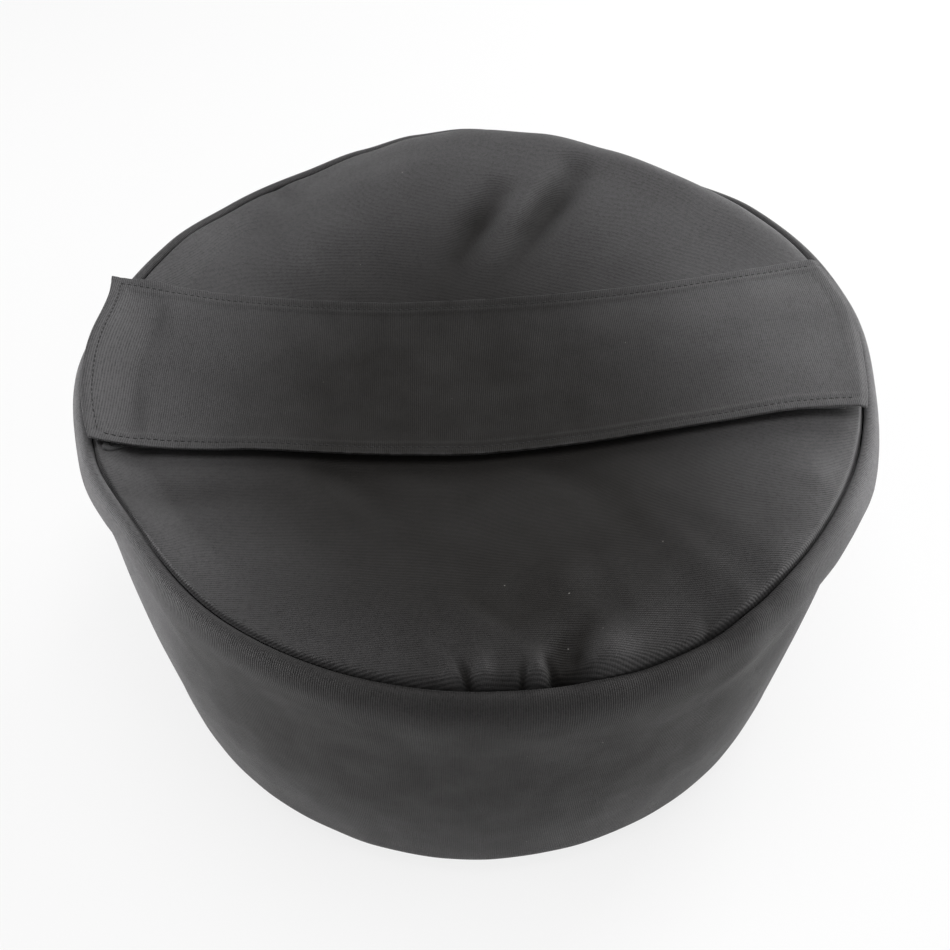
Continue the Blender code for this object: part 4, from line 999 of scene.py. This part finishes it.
# Zip slider and pull: die-cast and enamelled black, their edges rounded by the tumbling that comes before
# the paint. The slider's post parts the teeth at its mouth, and the pull's bar lies under its crown.
enamel = moulded_finish("black_enamel", (0.024, 0.024, 0.026, 1.0), 0.26, 0.35, 0.5)
for body, bevel in (("slider", 0.00020), ("pull", 0.00025)):
    piece = refined("enamelled_" + body, "zip_" + body, enamel, bevel)
    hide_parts("zip_" + body)
    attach(piece, body)


# Zip end tabs: a square of the top's nylon over each end of the zip, its edges turned under and topstitched,
# so that no raw tape meets the rim seam.
TAB_WIDTH, TAB_THICKNESS, TAB_HEM = 0.0260, 0.0010, 0.0032
TAB_START, TAB_REACH = 0.1670, 0.1880


def tab_place(side, u, v):
    y = ZIP_Y + (v - 0.5) * TAB_WIDTH
    end = math.sqrt(TAB_REACH**2 - y * y)
    return side * (TAB_START + (end - TAB_START) * u), y


def lay_tab(side):
    def lay(u, v):
        x, y = tab_place(side, u, v)
        edge = min(u, 1.0 - u) * (TAB_REACH - TAB_START), min(v, 1.0 - v) * TAB_WIDTH
        dent = 0.00022 * hump(min(edge) - TAB_HEM, 0.0006)
        return on_top(x, y, CLOTH_GAP + TAB_THICKNESS - dent), (x, y)
    return lay


for side, end in ((-1, "left"), (1, "right")):
    tool = cloth(36, 44, lay_tab(side))
    thick_band(tool, TAB_THICKNESS, 0.0003)
    tab = piece_of("end_tab_cloth_" + end, tool, top_nylon)
    mark_wear_and_painted_light(tab, lambda point: 0.3, top_painted_light)
    tool = bmesh.new()
    corners = ((0.17, 0.12), (0.83, 0.12), (0.83, 0.88), (0.17, 0.88), (0.17, 0.12))
    for (u0, v0), (u1, v1) in zip(corners, corners[1:]):
        def on_tab(share):
            x, y = tab_place(side, u0 + (u1 - u0) * share, v0 + (v1 - v0) * share)
            return on_top(x, y, CLOTH_GAP + TAB_THICKNESS)

        sew(tool, 5 if v0 == v1 else 7, on_tab)
    tab_thread = piece_of("end_tab_stitching_" + end, tool, thread)
    on_bag(tab, "ribbed_nylon", "zip_end_tab_" + end)
    on_bag(tab_thread, "ribbed_nylon")


# Seam along the zip: a row of stitches through each top cloth's turned edge and the tape under it.
for side, end in ((-1, "front"), (1, "rear")):
    tool = bmesh.new()
    y = ZIP_Y + side * (ZIP_OPENING + ZIP_SEAM)
    count = round(2 * TAPE_END / STITCH_PITCH)
    sew(tool, count, lambda share: on_top(0.97 * TAPE_END * (2 * share - 1), y, 0.00006))
    on_bag(piece_of("zip_stitching_" + end, tool, thread), "ribbed_nylon")


# Bindings: black woven tape folded over the raw edges of the top and the base seams, inside the bag, where
# the needle has drawn it slightly uneven.
BINDING_THICKNESS, BINDING_WIDTH = 0.0020, 0.0120


def band_ring(start, end):
    """The outline of a folded tape that runs from one (radius, height) to another, with round folds."""
    along = Vector(end) - Vector(start)
    length = along.length - BINDING_THICKNESS
    along.normalize()
    aside, ahead = Vector((-along.y, along.x)) * BINDING_THICKNESS / 2, along * BINDING_THICKNESS / 2
    near = Vector(start) + ahead
    turns = [math.pi * step / 8 for step in range(9)]
    outline = [near + along * length + aside * math.cos(turn) + ahead * math.sin(turn) for turn in turns]
    outline += [near - aside * math.cos(turn) - ahead * math.sin(turn) for turn in turns]
    return walk([tuple(point) for point in outline + outline[:1]], 0.0012)


def lay_binding(ring, radius):
    def lay(u, v):
        r, z, around = row_at(ring, v)
        angle = 2 * math.pi * u
        way = Vector((math.cos(angle), math.sin(angle), z * 20.0))
        pull_in = 0.00035 * noise.noise(way * 24.0)
        return slumped(at_angle(r + pull_in, angle, z + pull_in)), (u * 2 * math.pi * radius, around)
    return lay


binding_cloth = woven_finish("black_binding", 0.0014)
top_end = (SEAM_RADIUS - 0.0002, SEAM_HEIGHT - 0.0048)
base_start = Vector((WALL_LOW_RADIUS - CORNER_RADIUS, CORNER_RADIUS))
base_ways = [Vector((math.cos(a), -math.sin(a))) for a in (math.radians(36), math.radians(59))]
base_ends = [tuple(base_start + way * (CORNER_RADIUS - NYLON_THICKNESS - 0.0018)) for way in base_ways]
for seam, ends, radius in (
    ("top", (top_end, (top_end[0], top_end[1] - BINDING_WIDTH)), SEAM_RADIUS),
    ("base", base_ends, BASE_SEAM_RADIUS),
):
    ring = band_ring(*ends)
    tool = cloth(300, len(ring) - 1, lay_binding(ring, radius))
    binding = piece_of(seam + "_binding_cloth", tool, binding_cloth)
    turn_right = bmesh.new()
    turn_right.from_mesh(binding.data)
    bmesh.ops.recalc_face_normals(turn_right, faces=turn_right.faces[:])
    turn_right.to_mesh(binding.data)
    turn_right.free()
    on_bag(binding, "woven_tape", seam + "_seam_binding")


# Wall seam strip: the felled seam that closes the wall behind, a woven strip inside it with its edges sewn.
STRIP_WIDTH, STRIP_THICKNESS = 0.0250, 0.0012
STRIP_LOW, STRIP_HIGH = 0.0340, 0.1830


def wall_outer(height):
    """The wall's outer radius at a height between its base corner and its roll."""
    for (r0, z0, _), (r1, z1, _) in zip(wall_rows, wall_rows[1:]):
        if z1 <= height <= z0 and r0 > SEAM_RADIUS + 0.003:
            return r0 + (r1 - r0) * (z0 - height) / max(z0 - z1, 1e-9)
    return WALL_LOW_RADIUS


def lay_strip(u, v):
    height = STRIP_LOW + (STRIP_HIGH - STRIP_LOW) * v
    aside = (u - 0.5) * STRIP_WIDTH
    angle = math.pi / 2 - aside / WALL_LOW_RADIUS
    edge = min(u, 1.0 - u) * STRIP_WIDTH
    dent = 0.00025 * hump(edge - 0.003, 0.0007)
    radius = wall_outer(height) + wall_bulge(angle, height) - NYLON_THICKNESS - 0.0004 - dent
    return slumped(at_angle(radius, angle, height)), (height, aside)


tool = cloth(30, 90, lay_strip)
turn_outwards(tool, lambda point: Vector((point.x, point.y, 0.0)))
strip = piece_of("wall_strip_cloth", tool, binding_cloth, STRIP_THICKNESS)
on_bag(strip, "woven_tape", "wall_seam_strip")


# Liner: a bag of grey coated nylon that holds the sand, pressed by it against the outer bag, finely
# crinkled all over. It is open at the top, where its filler neck is folded over and strapped down.
LINER_THICKNESS = 0.0010
LINER_FLOOR = 0.0018
LINER_LOW, LINER_HIGH = 0.19428, 0.19728
LINER_TOP_CORNER, LINER_BASE_CORNER = 0.031, 0.034
LINER_NECK_RADIUS = 0.045
POCKET_INNER, POCKET_OUTER, POCKET_DEPTH = 0.085, 0.125, 0.0100
LINER_DROP = 0.0079
LINER_MIDDLE = Vector((0.0, 0.0, 0.09))


def liner_bowl(distance):
    """How far the zip's arc has risen at a distance from its lowest point."""
    return ZIP_ARC - math.sqrt(ZIP_ARC**2 - distance**2)


def liner_level(radius):
    outside = eased((radius - POCKET_INNER) / (POCKET_OUTER - POCKET_INNER))
    floor = SEAM_HEIGHT - DISH_DEPTH - ZIP_SUNK
    return floor + liner_bowl(radius) - LINER_DROP - POCKET_DEPTH * (1.0 - outside)


def leant(place):
    """The liner leans with the dish, whose lowest point isn't in the middle; its base stays."""
    shoulder = LINER_HIGH - LINER_TOP_CORNER
    inside = shoulder / max(shoulder, math.hypot(place.x, place.y))
    x, y = place.x * inside, place.y * inside
    lean = liner_bowl(math.hypot(x - ZIP_AXIS[0], y)) - liner_bowl(math.hypot(x, y))
    return Vector((place.x, place.y, place.z + lean * place.z / SEAM_HEIGHT))


def liner_rows(inset, start):
    shoulder = LINER_HIGH - LINER_TOP_CORNER
    across = [start + (shoulder - start) * step / 24 for step in range(25)]
    points = [(radius, liner_level(radius) - inset) for radius in across]
    high = (shoulder, liner_level(shoulder) - LINER_TOP_CORNER)
    points += arc(high, LINER_TOP_CORNER - inset, math.pi / 2, 0.0, 14)[1:]
    low = (LINER_LOW - LINER_BASE_CORNER, LINER_FLOOR + LINER_BASE_CORNER)
    points += arc(low, LINER_BASE_CORNER - inset, 0.0, -math.pi / 2, 14)
    return walk(points + [(0.0, LINER_FLOOR + inset)], 0.0035)


def crinkles(place):
    """Fine creases of a coated cloth that has been crumpled and filled out again, all inwards."""
    ridged = abs(noise.noise(place * 30.0)) + 0.6 * abs(noise.noise(place * 62.0 + Vector((3.0, 1.0, 4.0))))
    return -0.0009 * min(1.0, 1.6 * ridged)


def lay_liner(rows):
    def lay(u, v):
        radius, height, down = row_at(rows, v)
        angle = 2 * math.pi * u
        way, place = at_angle(1.0, angle, 0.0), at_angle(radius, angle, height)
        beside = eased((radius - 0.150) / 0.040) * eased(height / 0.030)
        place += way * (beside * (wall_bulge(angle, height) + crinkles(place)))
        place.z += (1.0 - beside) * eased((height - 0.10) / 0.05) * crinkles(place) * 1.5
        return slumped(leant(place)), (u * 2 * math.pi * LINER_LOW, down)
    return lay


def coated_finish(name, colour):
    """Coated liner cloth: a satin skin with a faint ripstop grid pressed through it."""
    made, tree, shader = new_finish(name, 0.42)
    space = in_space(tree)
    lines = [maths(tree, "PINGPONG", axis, 0.0025) for axis in on_cloth(tree)]
    grid = maths(tree, "MAXIMUM", *(spread(tree, line, 0.0, 0.0003, 1.0, 0.0) for line in lines))
    creases = cloudy(tree, space, 55.0, 6.0, 0.7)
    emboss(tree, shader, 0.7, 0.0010, weighed(tree, (grid, 0.12), (creases, 1.2)))
    share = weighed(tree, (cloudy(tree, space, 18.0), 0.9), (grid, 0.35))
    feed_in(shader.inputs["Base Color"], blended(tree, share, shade(colour, 0.72), colour))
    feed_in(shader.inputs["Roughness"], spread(tree, creases, 0.3, 0.7, 0.34, 0.55))
    return made


def filled_bag(inset, start):
    """The liner's shape at an inset, open at the top inside a radius."""
    rows = liner_rows(inset, start)
    tool = cloth(300, len(rows) - 1, lay_liner(rows))
    turn_outwards(tool, lambda point: point - LINER_MIDDLE)
    return tool


liner_grey = coated_finish("grey_coated_nylon", (0.215, 0.225, 0.235, 1.0))
liner = piece_of("liner_cloth", filled_bag(0.0, LINER_NECK_RADIUS), liner_grey, LINER_THICKNESS)
on_bag(liner, "coated_liner", "liner_bag")


# Sand: dry yellow sand poured in until it fills the liner, with a grain of about half a millimetre and
# darker, iron-stained patches.
SAND_GAP = 0.0005


def sand_finish():
    made, tree, shader = new_finish("dry_sand", 0.95)
    space = in_space(tree)
    grains = shader_step(tree, "TexVoronoi", (("Vector", space), ("Scale", 1700.0)))
    tints = shader_step(tree, "SeparateColor", (("Color", grains.outputs["Color"]),)).outputs[0]
    patch = cloudy(tree, space, 22.0, 4.0)
    base = blended(tree, tints, (0.38, 0.27, 0.15, 1.0), (0.70, 0.58, 0.40, 1.0))
    base = blended(tree, spread(tree, patch, 0.45, 0.75, 0.0, 0.4), base, (0.34, 0.22, 0.11, 1.0))
    feed_in(shader.inputs["Base Color"], base)
    emboss(tree, shader, 0.9, 0.0003, maths(tree, "SUBTRACT", 1.0, grains.outputs["Distance"]))
    return made


sand = piece_of("poured_sand", filled_bag(LINER_THICKNESS + SAND_GAP, 0.0), sand_finish())
on_bag(sand, "dry_sand", "sand_fill")


# Filler neck and its straps: the liner's sleeve, flattened and folded over itself twice on the sand, with a
# hook strap pressed onto a loop strap across the fold. Both are sewn to the liner beside it.
NECK_PLY, NECK_GAP = 0.0012, 0.0012
NECK_HALF, NECK_WIDTH = 0.035, 0.120
STRAP_THICKNESS, STRAP_WIDTH = 0.0010, 0.020
STRAP_INNER, STRAP_SHOULDER, STRAP_RAMP, STRAP_ANCHOR = 0.025, 0.0625, 0.010, 0.012


def lay_ribbon(path, width, across_x, rough):
    """A band along a path of (distance, height over the liner's top, length so far)."""
    def lay(u, v):
        along, height, done = row_at(path, v)
        aside = (u - 0.5) * width
        x, y = (aside, along) if across_x else (along, aside)
        place = leant(Vector((x, y, liner_level(math.hypot(x, y)))))
        soft = rough * noise.noise(Vector((x * 40.0, y * 40.0, height * 300.0)))
        return Vector((x, y, place.z + height + soft)), (done, aside)
    return lay


def folded_path():
    """Three plies over each other, joined by round folds at alternate ends."""
    ply = NECK_PLY + NECK_GAP
    first = CLOTH_GAP + NECK_PLY / 2
    path = []
    for layer in range(3):
        direction = 1 if layer % 2 == 0 else -1
        path += [(NECK_HALF * direction * (2 * step / 24 - 1), first + layer * ply) for step in range(25)]
        if layer < 2:
            turn = arc((0.0, 0.0), ply / 2, -math.pi / 2, math.pi / 2, 8)[1:-1]
            path += [(direction * (NECK_HALF + out), first + (layer + 0.5) * ply + up) for out, up in turn]
    return walk(path, 0.0028)


path = folded_path()
tool = cloth(60, len(path) - 1, lay_ribbon(path, NECK_WIDTH, True, 0.00025))
neck = piece_of("liner_neck_cloth", tool, liner_grey, NECK_PLY, 0.0)
on_bag(neck, "coated_liner", "liner_neck")

strap_top = CLOTH_GAP + 3 * NECK_PLY + 2 * NECK_GAP
strap_low = CLOTH_GAP + STRAP_THICKNESS / 2
for level, (end, side, finish) in enumerate((("loop", -1, loop_finish), ("hook", 1, hook_finish))):
    high = strap_top + strap_low + level * (STRAP_THICKNESS + CLOTH_GAP)
    ends = STRAP_SHOULDER + STRAP_RAMP, STRAP_SHOULDER + STRAP_RAMP + STRAP_ANCHOR
    path = smooth_outline([
        (-side * STRAP_INNER, high), (0.0, high), (side * STRAP_SHOULDER, high),
        (side * (STRAP_SHOULDER + 0.4 * STRAP_RAMP), high * 0.72 + strap_low * 0.28),
        (side * ends[0], strap_low), (side * ends[1], strap_low),
    ], 0.0015)
    path = walk(path, 0.0025)
    tool = cloth(24, len(path) - 1, lay_ribbon(path, STRAP_WIDTH, False, 0.0))
    strap = piece_of("liner_strap_cloth_" + end, tool, finish, STRAP_THICKNESS, 0.0)
    on_bag(strap, end + "_tape", "liner_strap_" + end)


# Studio: a white sweep under and behind the bag, which the camera sees as plain white, and soft boxes.
FLOOR_HALF = 4.0
WHITE = (1.0, 1.0, 1.0, 1.0)


def seen(tree):
    """1 on rays from the camera, and on those that reach it by a mirror or through glass."""
    rays = shader_step(tree, "LightPath").outputs
    passed_on = maths(tree, "MAXIMUM", rays["Is Glossy Ray"], rays["Is Transmission Ray"])
    return maths(tree, "MAXIMUM", rays["Is Camera Ray"], passed_on)


floor_tool = bmesh.new()
bmesh.ops.create_grid(floor_tool, x_segments=1, y_segments=1, size=FLOOR_HALF)
floor_finish = bpy.data.materials.new("studio_white")
floor_finish.use_nodes = True
tree = floor_finish.node_tree
tree.nodes.clear()
matt = shader_step(tree, "BsdfDiffuse", (("Color", (0.80, 0.80, 0.80, 1.0)),))
glow = shader_step(tree, "Emission", (("Color", WHITE), ("Strength", 1.0)))
feeds = ((0, maths(tree, "MULTIPLY", seen(tree), 0.80)), (1, matt.outputs[0]), (2, glow.outputs[0]))
mixed = shader_step(tree, "MixShader", feeds)
shader_step(tree, "OutputMaterial", (("Surface", mixed.outputs[0]),))
floor = piece_of("studio_floor", floor_tool, floor_finish)
for vert in floor.data.vertices:
    vert.co.z = -0.0002

LAMP_AIM = Vector((0.0, 0.0, 0.12))
LAMPS = (
    ("left_box", (-1.70, -0.10, 0.22), (1.0, 0.35), 30.0),
    ("right_box", (1.70, -0.10, 0.22), (1.0, 0.35), 30.0),
    ("rear_box", (1.20, 1.40, 0.90), (1.0, 1.0), 27.0),
    ("top_box", (0.0, 0.0, 2.00), (1.2, 1.2), 25.0),
    ("left_front_box", (-1.40, -0.90, 0.80), (0.9, 0.9), 3.0),
    ("right_front_box", (1.40, -0.90, 0.80), (0.9, 0.9), 3.0),
)
for name, place, size, power in LAMPS:
    lamp = bpy.data.objects.new(name, bpy.data.lights.new(name, "AREA"))
    bpy.context.scene.collection.objects.link(lamp)
    lamp.data.shape = "RECTANGLE"
    lamp.data.size, lamp.data.size_y = size
    lamp.data.energy = power
    lamp.location = place
    lamp.rotation_euler = (LAMP_AIM - Vector(place)).to_track_quat("-Z", "Y").to_euler()

world = bpy.data.worlds.new("studio_world")
bpy.context.scene.world = world
world.use_nodes = True
tree = world.node_tree
tree.nodes.clear()
white = [shader_step(tree, "Background", (("Color", WHITE), ("Strength", power))) for power in (0.06, 1.0)]
feeds = ((0, seen(tree)), (1, white[0].outputs[0]), (2, white[1].outputs[0]))
mixed = shader_step(tree, "MixShader", feeds)
shader_step(tree, "OutputWorld", (("Surface", mixed.outputs[0]),))
bpy.context.scene.view_settings.view_transform = "Standard"
